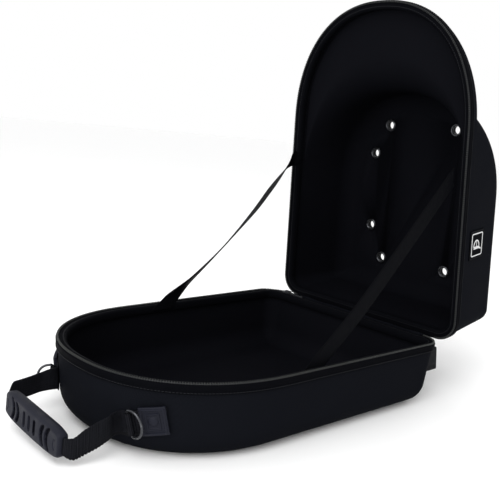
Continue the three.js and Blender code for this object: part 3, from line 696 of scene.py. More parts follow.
STITCH_SHARE, STITCH_RADIUS, STITCH_SIDES = 0.74, 0.26, 5
STITCH_MARKS = np.array([-0.5, -0.32, 0, 0.32, 0.5])
STITCH_RISE = np.array([-1.2, 0.25, 0.5, 0.25, -1.2])


def stitches(name, rows, pitch=3.2):
    """Thread bars along rows. Each row is (points, directions out of the cloth)."""
    turns = np.arange(STITCH_SIDES) * 2 * math.pi / STITCH_SIDES
    bar_faces = tube_faces(len(STITCH_MARKS), STITCH_SIDES)
    bars = []
    for line, out in rows:
        run = lengths(line) / METRES
        count = max(int(run[-1] / pitch), 1)
        for k in range(count):
            marks = run[-1] * (k + 0.5 + STITCH_SHARE * STITCH_MARKS) / count
            middle, rise = points_at(marks, run, line), points_at(marks, run, out)
            side = np.cross(unit(middle[-1] - middle[0]), rise)
            middle = middle + rise * (STITCH_RADIUS * STITCH_RISE)[:, None]
            bars.append(([centre + STITCH_RADIUS * (math.cos(a) * across + math.sin(a) * normal)
                          for centre, across, normal in zip(middle, side, rise) for a in turns], bar_faces))
    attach(make_object(name, *joined(bars), [thread], angle=60), "case")
    print(name, len(bars), "stitches")


def stitch_row(line, within):
    """A closed row on the cloth, with its directions away from a row within the cloth."""
    return closed(line), closed(unit(line - within))


SKIRT_ROW, COVER_ROW = (SKIRT_FACE - 0.1, BAND_SKIRT - 1.4), (5.6, TOP)
for word, rim in (("tray", tray_rim), ("lid", lid_rim)):
    stitches(f"{word}_binding_stitches", [
        stitch_row(rim(*SKIRT_ROW), rim(SKIRT_ROW[0] + 1, SKIRT_ROW[1])),
        stitch_row(rim(*COVER_ROW), rim(COVER_ROW[0], COVER_ROW[1] + 1)),
    ])

# %% [markdown]
# Straps, handle, loops and tabs are bands: a surface with a thickness. A band is described by a
# grid of points on its middle surface, rows along it and columns across. The cross-section gets
# thinner at its two woven edges, which gives the edge a soft roll instead of a knife cut.

# %% Bands of webbing


def smooth_curve(points, steps):
    """A centripetal Catmull-Rom curve through the points, with steps new points for each gap."""
    p = np.asarray(points, float)
    p = np.concatenate([[2 * p[0] - p[1]], p, [2 * p[-1] - p[-2]]])
    out = []
    for i in range(1, len(p) - 2):
        a, b, c, d = p[i - 1: i + 3]
        gaps = [max(np.linalg.norm(v) ** 0.5, 1e-4) for v in (b - a, c - b, d - c)]
        start = ((b - a) / gaps[0] - (c - a) / (gaps[0] + gaps[1]) + (c - b) / gaps[1]) * gaps[1]
        end = ((c - b) / gaps[1] - (d - b) / (gaps[1] + gaps[2]) + (d - c) / gaps[2]) * gaps[1]
        for t in np.arange(steps) / steps:
            out.append(b + start * t + (3 * (c - b) - 2 * start - end) * t ** 2
                       + (2 * (b - c) + start + end) * t ** 3)
    return np.array([*out, p[-2]])


def band(name, surface, thickness, finish, edge=0.45):
    """A closed band about a grid of middle points (rows along, columns across)."""
    rows, columns = surface.shape[:2]
    normal = unit(np.cross(np.gradient(surface, axis=0), np.gradient(surface, axis=1)))
    s = np.linspace(-1, 1, columns)
    half = thickness / 2 * (edge + (1 - edge) * np.sqrt(np.maximum(1 - np.abs(s) ** 8, 0)))
    lift = normal * half[None, :, None]
    loop = np.concatenate([surface + lift, (surface - lift)[:, ::-1]], axis=1)
    count = 2 * columns
    faces, corners = grid_faces(rows, count, wrap_columns=True)
    run = lengths(surface[:, columns // 2])
    width = lengths(surface[rows // 2])
    place = np.concatenate([width, width[::-1], width[:1]])
    uv = [(place[c], run[r]) for r, c in corners]
    for cap, end in zip(tube_faces(rows, count)[-2:], (run[0], run[-1])):
        faces.append(cap)
        uv.extend([(place[i % count], end) for i in cap])
    return make_object(name, loop.reshape(-1, 3), faces, [finish], uv, angle=50)


def strip(middles, across, widths, columns=13):
    """The grid of a flat strip: middle points, unit directions across it and its width."""
    s = np.linspace(-0.5, 0.5, columns)
    return middles[:, None] + across[:, None] * (s[None, :] * np.asarray(widths)[:, None])[..., None]


# %% [markdown]
# Two restraint straps keep the lid from falling back. They are sewn under the inner lips, and the
# far one has twisted, so that the photograph sees it nearly edge-on. A table gives the sag and
# the twist along each, and the curve through it is the same as in the CAD.

# %% Restraint straps
STRAP_WIDTH, STRAP_THICKNESS, STRAP_TRAY_Y, STRAP_LID_REACH = 20, 1.5, -4, 203
SEWN_DEPTH = 7
SAG_RIGHT = [(0, 0, 0), (0.12, -0.14, 0), (0.25, -0.25, 0), (0.45, -0.24, 0), (0.7, -0.14, 0), (1, 0, 0)]
SAG_LEFT = [(0, 0, 0), (0.15, -0.2, 42), (0.3, -0.38, 50), (0.45, -0.45, 55), (0.62, -0.42, 64),
            (0.76, -0.22, 66), (0.9, -0.02, 48), (0.96, 0, 16), (1, 0, 0)]
STRAP_CURL = 0.5


def restraint_strap(name, side, table, node_name):
    def lip(drawn_in, reach):
        inset = drawn_in + LIP_REACH + CLEARANCE + STRAP_THICKNESS / 2
        return side * (HALF_WIDTH - inset) * taper(-reach)

    tray_x = lip(tray_inset(TRAY_HEIGHT - BAND_SKIRT), REAR_Y - STRAP_TRAY_Y + STRAP_WIDTH)
    lid_x = lip(DOME_SIDE_DRAFT * BAND_SKIRT / DOME_DEPTH, STRAP_LID_REACH + STRAP_WIDTH)
    start = np.array([tray_x, STRAP_TRAY_Y, TRAY_HEIGHT])
    end = lid_to_case([lid_x, -STRAP_LID_REACH, 0])
    ahead = unit(end - start)
    level = unit(np.cross([1, 0, 0], ahead))
    rows = np.stack([np.arange(len(table)), *np.array(table, float).T], axis=1)
    smooth = np.stack([smooth_curve(rows[:, [0, k]], 8)[:, 1] for k in (1, 2, 3)], axis=1)
    share, sag, turn = smooth.T
    middles = start + np.outer(share, end - start) + np.outer(sag * STRAP_WIDTH, level)
    turn = np.radians(turn)[:, None]
    across = level * np.cos(turn) + np.cross(ahead, level) * np.sin(turn)
    surface = strip(middles, across, np.full(len(share), STRAP_WIDTH))
    for row, origin, normal in ((0, start, np.array([0, 0, 1])), (-1, end, LID_OUT)):
        missing = -SEWN_DEPTH - (surface[row] - origin) @ normal
        surface[row] += np.outer(missing / (ahead @ normal), ahead)
    curl = np.linspace(-1, 1, surface.shape[1]) ** 2
    swell = np.sin(np.linspace(0, math.pi, len(share)))
    bow = STRAP_CURL * curl[None] * swell[:, None]
    surface += unit(np.cross(across, ahead))[:, None] * bow[..., None]
    piece = band(name, surface, STRAP_THICKNESS, strap_webbing)
    dress(piece, node_name)


restraint_strap("near_strap", 1, SAG_RIGHT, "strap_right")
restraint_strap("far_strap", -1, SAG_LEFT, "strap_left")

# %% [markdown]
# The hinge is a strip of the shell's own cloth, sewn up the tray's rear rim and down the lid's. The
# middle hangs in a low hump, because the case could also be folded shut.

# %% Fabric hinge
HINGE_THICKNESS, HINGE_MARGIN, HINGE_HEM, HUMP_SHARE = 1.6, 8, 8, 0.4


def fabric_hinge():
    stand = CLEARANCE + BAND + CLEARANCE + HINGE_THICKNESS / 2
    hem = COIL_HEIGHT + CLEARANCE + BAND

    def tray_point(depth, room=0):
        z = TRAY_HEIGHT - depth
        return np.array([0, REAR_Y - tray_inset(z) + stand + room, z])

    def lid_point(depth, room=0):
        return lid_to_case([0, -(DOME_END_DRAFT * depth / DOME_DEPTH - stand - room), depth])

    hump = tray_point(hem) * (1 - HUMP_SHARE) + lid_point(0) * HUMP_SHARE
    hump[2] = TRAY_HEIGHT - hem
    route = [tray_point(hem + HINGE_HEM), tray_point(hem + HINGE_HEM / 2), tray_point(hem, CLEARANCE),
             hump, lid_point(0, CLEARANCE), lid_point(hem, CLEARANCE), lid_point(hem + HINGE_HEM / 2),
             lid_point(hem + HINGE_HEM)]
    path = smooth_curve(route, 6)
    width = 2 * (HALF_WIDTH - CORNER_RADIUS - HINGE_MARGIN)
    level = np.tile([1.0, 0, 0], (len(path), 1))
    surface = strip(path, level, np.full(len(path), width), columns=81)
    x = surface[..., 0]
    free = np.sin(np.linspace(0, math.pi, len(path))) ** 3
    surface[..., 2] += free[:, None] * (0.35 * np.sin(x / 7.3) + 0.3 * np.sin(x / 17.1 + 1))
    piece = band("hinge_cloth", surface, HINGE_THICKNESS, shell_cloth)
    dress(piece, "hinge_fabric")


fabric_hinge()

# %% [markdown]
# The handle's webbing lies on the tray's rounded front under the anchor patches, leaves the wall
# in front of the D-rings and goes through the grip. It has been bent sharply on the near side,
# where it is pinched narrower and its edges scallop.

# %% Places on the rounded front
WEBBING_WIDTH, WEBBING_THICKNESS = 24, 2
RING_ANGLE, RING_HEIGHT, RING_TILT = 61.4, 34, 14
PATCH_DISTANCE, PATCH_HEIGHT = 20.8, 39.4
WIRE, BORE_CLEARANCE, LOOP_THICKNESS, LOOP_HEIGHT = 1.25, 0.35, 1.5, 21
LOOP_RADIUS = WIRE + BORE_CLEARANCE + LOOP_THICKNESS


def front_point(side, angle, z, stand):
    """A point on the tray's rounded front: angle is 0 where it starts and 90 at its tip."""
    inset = tray_inset(z) - stand
    x, y = arch_point(HALF_WIDTH - inset, CASE_LENGTH - inset, ARCH_LENGTH - inset, math.radians(angle))
    return np.array([side * x, y + REAR_Y, z])


def angle_behind(distance):
    """The angle at a distance behind the D-ring's bar, measured along the wall."""
    step = -0.1 if distance > 0 else 0.1
    angle, travelled = RING_ANGLE, 0
    while travelled < abs(distance):
        travelled += np.linalg.norm(front_point(1, angle, RING_HEIGHT, 0)
                                    - front_point(1, angle + step, RING_HEIGHT, 0))
        angle += step
    return angle


def ring_frame(side, stand):
    """Axes at the D-ring's bar: x out of the wall, y level along it, z up it."""
    def at(turn, z):
        return front_point(side, RING_ANGLE + turn, RING_HEIGHT + z, 0)

    level = unit((at(-1, 0) - at(1, 0)) * side)
    out = unit(np.cross(level, unit(at(0, 1) - at(0, -1))))
    upright = np.cross(out, level)
    axes = Matrix((out, level, upright)).transposed().to_4x4()
    place = Matrix.Translation(Vector(front_point(side, RING_ANGLE, RING_HEIGHT, stand)))
    return place @ axes @ Matrix.Rotation(side * math.radians(RING_TILT), 4, "X")


def through(matrix, points):
    """Points moved by a 4x4 matrix."""
    m = np.array(matrix)
    return np.asarray(points, float) @ m[:3, :3].T + m[:3, 3]


# %% Handle webbing
GRIP_LENGTH, GRIP_HEIGHT, GRIP_END_HEIGHT, GRIP_DEPTH, GRIP_BULGE = 102, 27, 19.5, 10, 1.5
GRIP_STAND_OFF, GRIP_Z, GRIP_TILT, GRIP_WEBBING = 38.5, 21.5, 2.8, 16
GRIP_MIDDLE = np.array([0, -REAR_Y - GRIP_STAND_OFF, GRIP_Z])
ON_WALL = [(1.5, 1.366, 0, 1), (1.332, 1.219, 0, 1), (1, 1, 0, 1), (0.613, 0.59, 0, 1),
           (0.226, 0.078, 0, 1), (-0.106, -0.463, 0, 1), (-0.261, -0.419, 0, 1)]
LEAVING_RIGHT = [(-0.482, -0.434, 0.22, 0.97), (-0.622, -0.463, 2.6, 0.94)]
LEAVING_LEFT = [(-0.482, 0.064, 0.22, 0.95), (-0.622, 0.1, 2.6, 0.9)]
FREE_RIGHT = [(0.05, 0.225, 1.42, 0.95, 0.35), (0.34, 0.215, 1.25, 0.99, 0.8),
              (0.63, 0.315, 1.02, 1, 1), (0.85, 0.465, 0.8, 0.8, 0.8)]
FREE_LEFT = [(0.09, 0.285, 1.51, 0.84, 0.15), (0.41, 0.35, 1.44, 0.83, 0.15),
             (0.67, 0.44, 1.42, 0.83, 0.2), (0.88, 0.51, 1.37, 0.84, 0.2)]
CRUMPLE_PITCH = 3.1
WEBBING_STAND = CLEARANCE + WEBBING_THICKNESS / 2
WALL_FACE = 2 * CLEARANCE + WEBBING_THICKNESS


def grip_turn(point):
    return np.array(Matrix.Rotation(math.radians(GRIP_TILT), 3, "Y")) @ np.asarray(point, float)


def webbing_marks(side, leaving, free):
    """Rows of middle point, direction up the webbing, width and crumple, from the wall to the grip."""
    marks = []
    for behind, rise, lift, width in [*ON_WALL, *leaving]:
        angle = angle_behind(behind * PATCH_DISTANCE)
        height = RING_HEIGHT + rise * (PATCH_HEIGHT - RING_HEIGHT)
        up = (front_point(side, angle, height + WEBBING_WIDTH / 4, 0)
              - front_point(side, angle, height - WEBBING_WIDTH / 4, 0))
        middle = front_point(side, angle, height, WEBBING_STAND + lift * LOOP_RADIUS)
        marks.append([*middle, *unit(up), width * WEBBING_WIDTH, 0])
    bar = front_point(side, RING_ANGLE, RING_HEIGHT, WEBBING_STAND)
    for out, inward, height, width, crumple in free:
        middle = [bar[0] - side * inward * PATCH_DISTANCE, -REAR_Y - out * GRIP_STAND_OFF, height * GRIP_Z]
        marks.append([*middle, 0, 0, 1, width * WEBBING_WIDTH, crumple])
    for share in (1.04, 1, 0.8):
        middle = grip_turn([side * share * GRIP_LENGTH / 2, 0, 0]) + GRIP_MIDDLE
        marks.append([*middle, 0, 0, 1, GRIP_WEBBING, 0])
    return marks


def handle_webbing():
    right = webbing_marks(1, LEAVING_RIGHT, FREE_RIGHT)
    left = webbing_marks(-1, LEAVING_LEFT, FREE_LEFT)
    marks = np.array([*right, *left[::-1]])
    path = smooth_curve(marks[:, :3], 12)
    place = np.linspace(0, len(marks) - 1, len(path))
    between = points_at(place, np.arange(len(marks)), marks[:, 3:])
    across, width, crumple = unit(between[:, :3]), between[:, 3:4], between[:, 4:]
    run = (lengths(path) / METRES)[:, None]
    s = np.linspace(-1, 1, 17)[None]
    rib = np.sin(run * 2 * math.pi / CRUMPLE_PITCH)
    scallop = 1 + 0.035 * crumple * rib * np.abs(s) ** 3
    surface = path[:, None] + across[:, None] * (s * width / 2 * scallop)[..., None]
    travel = unit(np.gradient(path, axis=0) * [1, 1, 0])
    fold = crumple * (0.3 * rib + 0.5 * np.sin(run / 4.1) * s + 0.7 * np.cos(s * 3.4))
    surface += np.cross(across, travel)[:, None] * fold[..., None]
    piece = band("handle_strap", surface, WEBBING_THICKNESS, handle_tape)
    dress(piece, "handle_webbing")


handle_webbing()

# %% [markdown]
# The grip is one moulded bar round the webbing: it swells in the middle and has a pattern of
# pressed slots on its front. A ring of points round the bar is swept from end to end, and the
# points on the front are pushed in where a slot is, with the soft wall that a moulding has.

# %% Grip
GRIP_SLOTS = [(-0.7, 0.8, 1.25, 1.3), (-0.51, 0.72, 1, 1.3), (-0.19, 0.54, 0, 1), (0, 0.54, 0, 1),
              (0.19, 0.54, 0, 1), (0.51, 0.72, -1, 1.3), (0.7, 0.8, -1.25, 1.3)]
SLOT_DEPTH, SLOT_WIDTH, SLOT_SOFTNESS = 2.4, 4, 0.7
ARC_PLACE, ARC_LENGTH, ARC_HEIGHT, ARC_LINE, ARC_DEPTH = 0.885, 2.4, 4.6, 0.16, 0.6


def slot_mask(x, z):
    """1 inside a slot of the grip's face, 0 outside it."""
    mask = np.zeros_like(x)
    for place, length, bow, width in GRIP_SLOTS:
        half = length * GRIP_HEIGHT / 2
        radius = width * SLOT_WIDTH / 2
        centre = place * GRIP_LENGTH / 2 + bow * SLOT_WIDTH * (1 - (z / half) ** 2)
        over = np.maximum(np.abs(z) - (half - radius), 0)
        distance = np.hypot(x - centre, over)
        mask = np.maximum(mask, np.clip((radius - distance) / SLOT_SOFTNESS + 0.5, 0, 1))
    return mask * mask * (3 - 2 * mask)


def arc_mask(x, z):
    """A small open arc pressed by each end of the grip."""
    mask = np.zeros_like(x)
    for side in (-1, 1):
        aside = x * side - ARC_PLACE * GRIP_LENGTH / 2
        line = np.abs(np.hypot(aside / ARC_LENGTH, z / ARC_HEIGHT) - 1)
        mask = np.maximum(mask, np.clip(1.5 - line / ARC_LINE, 0, 1) * (aside < 0.8))
    return mask


def grip():
    across = np.linspace(-1, 1, 61)
    front = np.array([-1.0] * len(across) + [1.0] * len(across))
    up = np.concatenate([across, -across])
    rim = np.clip((np.abs(up) - 0.72) / 0.28, 0, 1)
    rings, masks = [], []
    for t in np.linspace(-1, 1, 221):
        height = (GRIP_END_HEIGHT + (GRIP_HEIGHT - GRIP_END_HEIGHT) * (1 - abs(t) ** 8)) / 2
        end = min((1 - abs(t)) * GRIP_LENGTH / 2 / 2.5, 1)
        shrink = 2 * (1 - math.sqrt(1 - (1 - end) ** 2))
        z = up * (height - shrink)
        x = np.full_like(z, t * GRIP_LENGTH / 2)
        mask = slot_mask(x, z) * (front < 0)
        sink = SLOT_DEPTH * mask + ARC_DEPTH * arc_mask(x, z)
        depth = (GRIP_DEPTH / 2 - shrink * 0.8) * (1 - 0.42 * rim ** 2.2)
        depth += np.where(front < 0, GRIP_BULGE * (1 - t ** 2) - sink, 0)
        rings.append(np.stack([x, front * depth, z], axis=1))
        masks.append(mask)
    masks = np.concatenate(masks)
    faces = tube_faces(len(rings), len(up))
    # Faces inside the slots take the darker finish: painted shade in the recesses.
    slots = [int(masks[face].mean() > 0.45) for face in faces[:-2]] + [0, 0]
    points = grip_turn(np.concatenate(rings).T).T + GRIP_MIDDLE
    piece = make_object("handle_grip_rubber", points, faces, [rubber, slot_painted_shade], slots=slots, angle=60)
    dress(piece, "handle_grip")


grip()

# %% [markdown]
# Anchor patches: a rubber square covers the webbing's sewn end on each side. Its face is drawn as
# heights over a square: two raised frames, a shallow field and a domed button in the middle,
# all bent round the wall. The button stays plain.

# %% Anchor patches
PATCH_LENGTH, PATCH_WIDTH, PATCH_TILT, PATCH_PLATE, PATCH_RELIEF = 24, 27, 12, 2.2, 1.3
FRAME_EDGES, BUTTON_RADIUS = ((1.2, 3.0), (5.6, 7.0)), 4.6


def soft_step(value, edge, blur=0.35):
    t = np.clip((value - edge) / (2 * blur) + 0.5, 0, 1)
    return t * t * (3 - 2 * t)


def patch(side):
    tilt = math.radians(PATCH_TILT)
    s = np.linspace(-1, 1, 73)
    angles = {}

    def at(along, up, stand):
        behind = PATCH_DISTANCE + along * math.cos(tilt) - up * math.sin(tilt)
        key = round(behind, 1)
        if key not in angles:
            angles[key] = angle_behind(key)
        z = PATCH_HEIGHT + up * math.cos(tilt) + along * math.sin(tilt)
        return front_point(side, angles[key] + (key - behind) * angle_rate, z, stand)

    angle_rate = (angle_behind(0) - angle_behind(40)) / 40
    along, up = np.meshgrid(s * PATCH_LENGTH / 2, s * PATCH_WIDTH / 2, indexing="ij")
    inset = np.minimum(PATCH_LENGTH / 2 - np.abs(along), PATCH_WIDTH / 2 - np.abs(up))
    frames = sum(soft_step(inset, start) * (1 - soft_step(inset, end)) for start, end in FRAME_EDGES)
    button = np.sqrt(np.maximum(1 - (np.hypot(along, up) / BUTTON_RADIUS) ** 2, 0))
    edge = soft_step(inset, 0.45, 0.45)
    height = PATCH_PLATE * (0.62 + 0.38 * edge) + PATCH_RELIEF * np.clip(frames, 0, 1) * edge
    height = np.maximum(height, PATCH_PLATE - 0.3 + (PATCH_RELIEF + 0.3) * button)
    count = len(s)
    points = [at(a, u, WALL_FACE + h) for face in (height, np.zeros_like(height))
              for a, u, h in zip(along.ravel(), up.ravel(), face.ravel())]
    faces, _ = grid_faces(count, count)
    number = np.arange(count * count).reshape(count, count)
    border = np.concatenate([number[0], number[1:, -1], number[-1, -2::-1], number[-2:0:-1, 0]]).tolist()
    faces += [[i + count ** 2 for i in face[::-1]] for face in faces]
    faces += [[a + count ** 2, b + count ** 2, b, a] for a, b in zip(border, border[1:] + border[:1])]
    if side < 0:
        faces = [face[::-1] for face in faces]
    word, hand = ("near", "right") if side > 0 else ("far", "left")
    piece = make_object(f"{word}_anchor_patch", points, faces, [rubber], angle=60)
    dress(piece, f"anchor_patch_{hand}")


patch(1)
patch(-1)

# %% [markdown]
# D-rings: a bent steel wire with a straight bar, which turns in a small webbing loop. The wire is a
# round tube along a closed line. The near ring lies back over its patch, and the far one stands
# out, as in the photograph. Each rides on its own body, so that it can swing.

# %% D-rings and their loops
RING_INNER, RING_REACH, RING_ARM, RING_CORNER = 23, 15.5, 4.5, 2.5
LOOP_TAIL_REAR, LOOP_TAIL_FRONT = 4, 7


def d_ring(side, swing, body, node_name, name):
    half = RING_INNER / 2 + WIRE
    turn = np.linspace(0, math.pi / 2, 7)
    corner = np.stack([RING_CORNER * (1 - np.cos(turn)), half - RING_CORNER * (1 - np.sin(turn))], axis=1)
    bow = np.linspace(0, math.pi / 2, 17)
    curve = np.stack([RING_ARM + (RING_REACH - RING_ARM) * np.sin(bow), half * np.cos(bow)], axis=1)
    upper = np.concatenate([corner, curve])
    line = np.concatenate([upper, upper[-2::-1] * [1, -1]])
    line = np.stack([np.zeros(len(line)), side * line[:, 0], line[:, 1]], axis=1)
    ahead = unit(np.roll(line, -1, axis=0) - np.roll(line, 1, axis=0))
    out = np.array([1.0, 0, 0])
    in_plane = unit(np.cross(ahead, out))
    angles = np.linspace(0, 2 * math.pi, 14, endpoint=False)
    rings = (line[:, None] + WIRE * (np.cos(angles)[None, :, None] * in_plane[:, None]
                                     + np.sin(angles)[None, :, None] * out))
    faces, _ = grid_faces(*rings.shape[:2], True, True)
    place = ring_frame(side, WALL_FACE + LOOP_RADIUS) @ Matrix.Rotation(-side * math.radians(swing), 4, "Z")
    piece = make_object(name, through(place, rings.reshape(-1, 3)), faces, [metal], angle=80)
    dress(piece, node_name, body)


def ring_loop(side, name, node_name):
    """A short band folded round the bar: tail, round, tail."""
    low, high = (LOOP_TAIL_REAR, LOOP_TAIL_FRONT) if side > 0 else (LOOP_TAIL_FRONT, LOOP_TAIL_REAR)
    mid = LOOP_RADIUS - LOOP_THICKNESS / 2
    angles = np.radians(np.linspace(-62, 242, 25))
    arc = np.stack([mid * np.cos(angles), LOOP_RADIUS + mid * np.sin(angles)], axis=1)
    flat = LOOP_THICKNESS * 0.42
    path = np.concatenate([[[high, flat * 0.8], [high * 0.7 + 0.4, flat]], arc,
                           [[-low * 0.5 - 0.6, flat], [-low, flat * 0.8]]])
    path = smooth_curve(np.concatenate([path, np.zeros((len(path), 1))], axis=1), 2)[:, :2]
    s = np.linspace(-0.5, 0.5, 13) * LOOP_HEIGHT
    surface = np.array([[[y, -x, z] for z in s] for x, y in path])
    surface = through(ring_frame(side, WALL_FACE), surface.reshape(-1, 3)).reshape(surface.shape)
    piece = band(name, surface, LOOP_THICKNESS * 0.8, handle_tape)
    dress(piece, node_name)


ring_loop(1, "near_ring_loop", "dring_loop_right")
ring_loop(-1, "far_ring_loop", "dring_loop_left")
d_ring(1, 20, "dring_right_body", "dring_right", "near_d_ring")
d_ring(-1, 92, "dring_left_body", "dring_left", "far_d_ring")

# %% [markdown]
# Eyelets: a rolled flange on each face of the dome's back. A profile is turned round the hole's
# middle, like a pot on a wheel, and its last side, the inside of the tube, is painted shade: dull and
# nearly black.

# %% Eyelets
EYELET_BORE, EYELET_BARREL, EYELET_FLANGE, EYELET_ROLL = 5.2, 5.8, 8.5, 2.4


def eyelet_profile():
    inner, outer = DOME_DEPTH - SHELL_WALL - CLEARANCE, DOME_DEPTH + CLEARANCE
    middle = (EYELET_BORE + EYELET_FLANGE) / 2
    width = (EYELET_FLANGE - EYELET_BORE) / 2
    arc = np.linspace(math.pi, 0, 9)
    top = [(middle + width * math.cos(a), outer + EYELET_ROLL * math.sin(a)) for a in arc]
    under = [(middle + width * math.cos(a), inner - EYELET_ROLL * math.sin(a)) for a in arc[::-1]]
    return [*top, (EYELET_BARREL, outer), (EYELET_BARREL, inner), *under]


for number, (x, y) in enumerate(VENT_PLACES, 1):
    order = number if number <= 4 else 13 - number
    profile = eyelet_profile()
    rings = [(x + r * math.cos(a), y + r * math.sin(a), z)
             for a in np.linspace(0, 2 * math.pi, 40, endpoint=False) for r, z in profile]
    faces, _ = grid_faces(40, len(profile), True, True)
    # The tube's inner side takes the near-black finish, painted shade inside the tube.
    slots = [int(k % len(profile) == len(profile) - 1) for k in range(len(faces))]
    piece = make_object(f"eyelet_ring_{order}", lid_to_case(rings), faces,
                        [metal, tube_painted_shade], slots=slots, angle=50)
    dress(piece, f"eyelet_{order}")

# %% [markdown]
# The label is a black woven square, sewn flat on the dome's side, with a white border and a plain
# little cap as a sign of what the case is for. Its drawing is made of small flat shapes that
# stand a few tenths of a millimetre out of the cloth.

# %% Label
LABEL_REACH, LABEL_DEPTH, LABEL_WIDTH, LABEL_HEIGHT, LABEL_THICKNESS = 115, 45, 38, 36, 0.9


def label_point(along, up, stand):
    depth = LABEL_DEPTH + along
    reach = LABEL_REACH + up
    half = HALF_WIDTH - DOME_SIDE_DRAFT * depth / DOME_DEPTH + stand
    return lid_to_case([half * taper(-reach), -reach, depth])


def rounded_square(half_width, half_height, radius):
    return [(sx * (half_width - radius) + radius * math.cos(a),
             sy * (half_height - radius) + radius * math.sin(a))
            for sx, sy, first in ((1, 1, 0), (-1, 1, 90), (-1, -1, 180), (1, -1, 270))
            for a in np.radians(np.linspace(first, first + 90, 6))]


def ribbon(line, width, low, high):
    """A raised ribbon along a row of points on the label."""
    line = np.array(line, float)
    side = unit(np.gradient(line, axis=0))[:, ::-1] * [-width / 2, width / 2]
    outline = np.concatenate([line + side, (line - side)[::-1]])
    total = len(outline)
    points = [label_point(a, b, stand) for stand in (low, high) for a, b in outline]
    quads = [[k, (k + 1) % total, (k + 1) % total + total, k + total] for k in range(total)]
    for a in range(len(line) - 1):
        top = [a, a + 1, total - 2 - a, total - 1 - a]
        quads += [top[::-1], [i + total for i in top]]
    return points, quads


def label():
    face = CLEARANCE + LABEL_THICKNESS
    half_width, half_height = LABEL_WIDTH / 2, LABEL_HEIGHT / 2
    square = rounded_square(half_width, half_height, 1.2)
    cloth = prism(*([label_point(a, b, stand) for a, b in square] for stand in (CLEARANCE, face)))
    dress(make_object("label", *cloth, [tape], angle=30), "lid_label")
    border = closed(rounded_square(half_width - 4.5, half_height - 4.5, 2))
    crown = [(7.5 * math.cos(a) - 1.5, 8.2 * math.sin(a) - 3.0) for a in np.linspace(math.pi, 0, 19)]
    crown += [(-9.0, -3.0)]
    brim = [(-8.5, -4.6), (2, -4.4), (7, -4.6), (11.5, -6.2)]
    seam = [(-1.5, -2.4), (-1.3, 1.4), (-1.5, 4.6)]
    marks = joined([ribbon(line, width, face - 0.1, face + 0.35)
                    for line, width in ((border, 1.3), (crown, 1.6), (brim, 2.0), (seam, 1.0))])
    drawing = make_object("label_mark", *marks, [label_yarn], angle=30)
    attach(drawing, "case")
    edge = closed(rounded_square(half_width - 1.4, half_height - 1.4, 1))
    line, above = (np.array([label_point(a, b, face + rise) for a, b in edge]) for rise in (0, 1))
    stitches("label_stitches", [(line, unit(above - line))], pitch=2.6)


label()

# %% [markdown]
# Rear tabs: where the zip ends, a folded piece of webbing sticks out of each rear corner to hold
# on to while the zip is pulled. Both layers and the slanted fold are one band.

# %% Rear tabs
TAB_THICKNESS, TAB_HEIGHT, TAB_TOP, TAB_REACH_TOP, TAB_REACH_BOTTOM, TAB_INSET = 3, 28, 64, 14, 20, 16


def rear_tab(side, name, node_name):
    middle = side * (HALF_WIDTH - TAB_INSET)
    foot = CORNER_RADIUS - TAB_INSET - TAB_THICKNESS / 2

    def wall_y(z):
        radius = CORNER_RADIUS - tray_inset(z)
        return REAR_Y - CORNER_RADIUS + math.sqrt(radius * radius - foot * foot) + CLEARANCE

    layer = TAB_THICKNESS / 4
    fold = [(share, layer) for share in np.linspace(0, 0.96, 9)]
    fold += [(0.96, layer * math.cos(a), layer * math.sin(a)) for a in np.linspace(0.3, math.pi - 0.3, 7)]
    fold += [(share, -layer) for share in np.linspace(0.96, 0, 9)]
    rows = []
    for share, aside, *beyond in fold:
        row = []
        for t in np.linspace(0, 1, 15):
            z = TAB_TOP - TAB_HEIGHT * t
            reach = REAR_Y + TAB_REACH_TOP + (TAB_REACH_BOTTOM - TAB_REACH_TOP) * t - layer
            y = wall_y(z) + (reach - wall_y(z)) * share + (beyond[0] if beyond else 0)
            row.append([middle + side * aside, y, z])
        rows.append(row)
    piece = band(name, np.array(rows), layer * 1.9, handle_tape)
    dress(piece, node_name)
    seam = np.array([[middle + side * (2 * layer - 0.1), wall_y(z) + 3.5, z]
                     for z in np.linspace(TAB_TOP - 1.5, TAB_TOP - TAB_HEIGHT + 1.5, 12)])
    out = np.tile([float(side), 0, 0], (12, 1))
    return seam, out


near_seam = rear_tab(1, "near_rear_tab", "rear_tab_right")
far_seam = rear_tab(-1, "far_rear_tab", "rear_tab_left")
stitches("tab_stitches", [near_seam, far_seam], pitch=2.6)

# %% [markdown]
# The zip slider is parked at the hinge's left end: a cast body with a bridge over it and a flat
# pull. Each is a plate made from an outline, and a Bevel softens its edges.

# %% Zip slider
SLIDER_LENGTH, SLIDER_WIDTH, SLIDER_HEIGHT = 12, 8, 4
PULL_LENGTH, PULL_WIDTH, PULL_THICKNESS, PULL_OVERLAP = 24, 6, 1.6, 1


def plate(outline, low, high):
    return prism(*([(x, y, z) for x, y in outline] for z in (low, high)))


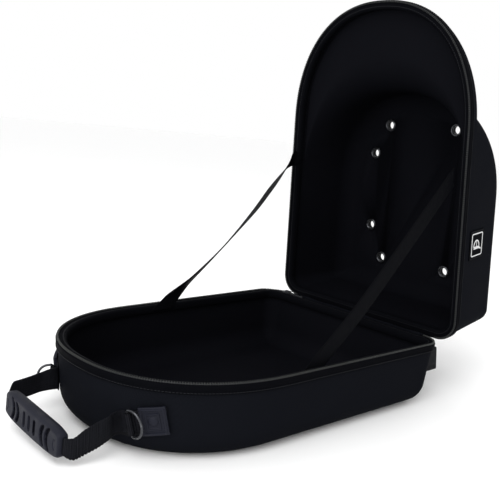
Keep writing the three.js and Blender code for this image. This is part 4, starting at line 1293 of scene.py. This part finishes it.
def zip_slider():
    seat = TRAY_HEIGHT - COIL_HEIGHT
    x = -(HALF_WIDTH - CORNER_RADIUS) + CLEARANCE + SLIDER_LENGTH / 2
    y = REAR_Y - SLIDER_WIDTH / 2 + BAND
    waist = [(-6, -4), (-1.5, -3), (1.5, -3), (6, -4), (6, 4), (1.5, 3), (-1.5, 3), (-6, 4)]
    post = [(-4.5, -1), (-1, -1), (-1, 1), (-4.5, 1)]
    bridge = [(-3.5, -1.2), (4.5, -1.2), (4.5, 1.2), (-3.5, 1.2)]
    start, half = SLIDER_LENGTH / 2 - PULL_OVERLAP, PULL_WIDTH / 2
    end = start + PULL_LENGTH
    pull = [(start, -1.6), (start + 6, -half), (end - 3, -half), (end, 1.5 - half), (end, half - 1.5),
            (end - 3, half), (start + 6, half), (start, 1.6)]
    plates = [(waist, 1, 0, 1.3), (waist, 0.92, 2.0, 3.0), (post, 1, 1, 2.4),
              (bridge, 1, 2.8, SLIDER_HEIGHT), (pull, 1, 0, PULL_THICKNESS)]
    solids = [plate([(x + a * size, y + b * size) for a, b in outline], seat + low, seat + high)
              for outline, size, low, high in plates]
    piece = make_object("slider", *joined(solids), [metal], angle=30)
    bevel = piece.modifiers.new("soft edges", "BEVEL")
    bevel.width = 0.3 * METRES
    bevel.segments = 2
    dress(piece, "zip_slider")


zip_slider()

# %% [markdown]
# The studio: a wide white floor under a white sky, which meet without a seam because both are just
# bright enough to burn out, a soft light from above and in front, a weaker one that looks into
# the lid, and two that draw the edges. The floor goes a little grey only where the case keeps the
# light from it.

# %% Floor and light
FLOOR_HALF = 20000
floor_paper = speckled("floor_paper", 0.2, 3, (0.97, 0.97, 0.97), (0.985, 0.985, 0.985), (0.55, 0.6))
corners = [(x * FLOOR_HALF, y * FLOOR_HALF, 0) for x, y in ((-1, -1), (1, -1), (1, 1), (-1, 1))]
make_object("floor", corners, [[0, 1, 2, 3]], [floor_paper])


def softbox(name, place, target, size, power):
    lamp = bpy.data.objects.new(name, bpy.data.lights.new(name, "AREA"))
    lamp.data.shape = "RECTANGLE"
    lamp.data.size, lamp.data.size_y = size
    lamp.data.energy = power
    lamp.location = place
    lamp.rotation_mode = "QUATERNION"
    lamp.rotation_quaternion = (Vector(target) - Vector(place)).to_track_quat("-Z", "Y")
    bpy.context.scene.collection.objects.link(lamp)


softbox("key", (0.9, -1.5, 2.2), (0, 0, 0.1), (1.6, 1.6), 30)
softbox("left_strip", (-1.8, -0.7, 1.3), (0, 0, 0.1), (0.8, 1.8), 3)
softbox("rear_top", (-0.7, 1.9, 1.9), (0, 0.2, 0.2), (2.0, 0.9), 5)
softbox("front_fill", (0.5, -1.9, 0.7), (0, 0.25, 0.25), (1.4, 1.0), 15)
world = bpy.data.worlds.new("studio")
bpy.context.scene.world = world
world.use_nodes = True
world.node_tree.nodes["Background"].inputs["Color"].default_value = (1, 1, 1, 1)
world.node_tree.nodes["Background"].inputs["Strength"].default_value = 1.0
bpy.context.scene.view_settings.view_transform = "Standard"
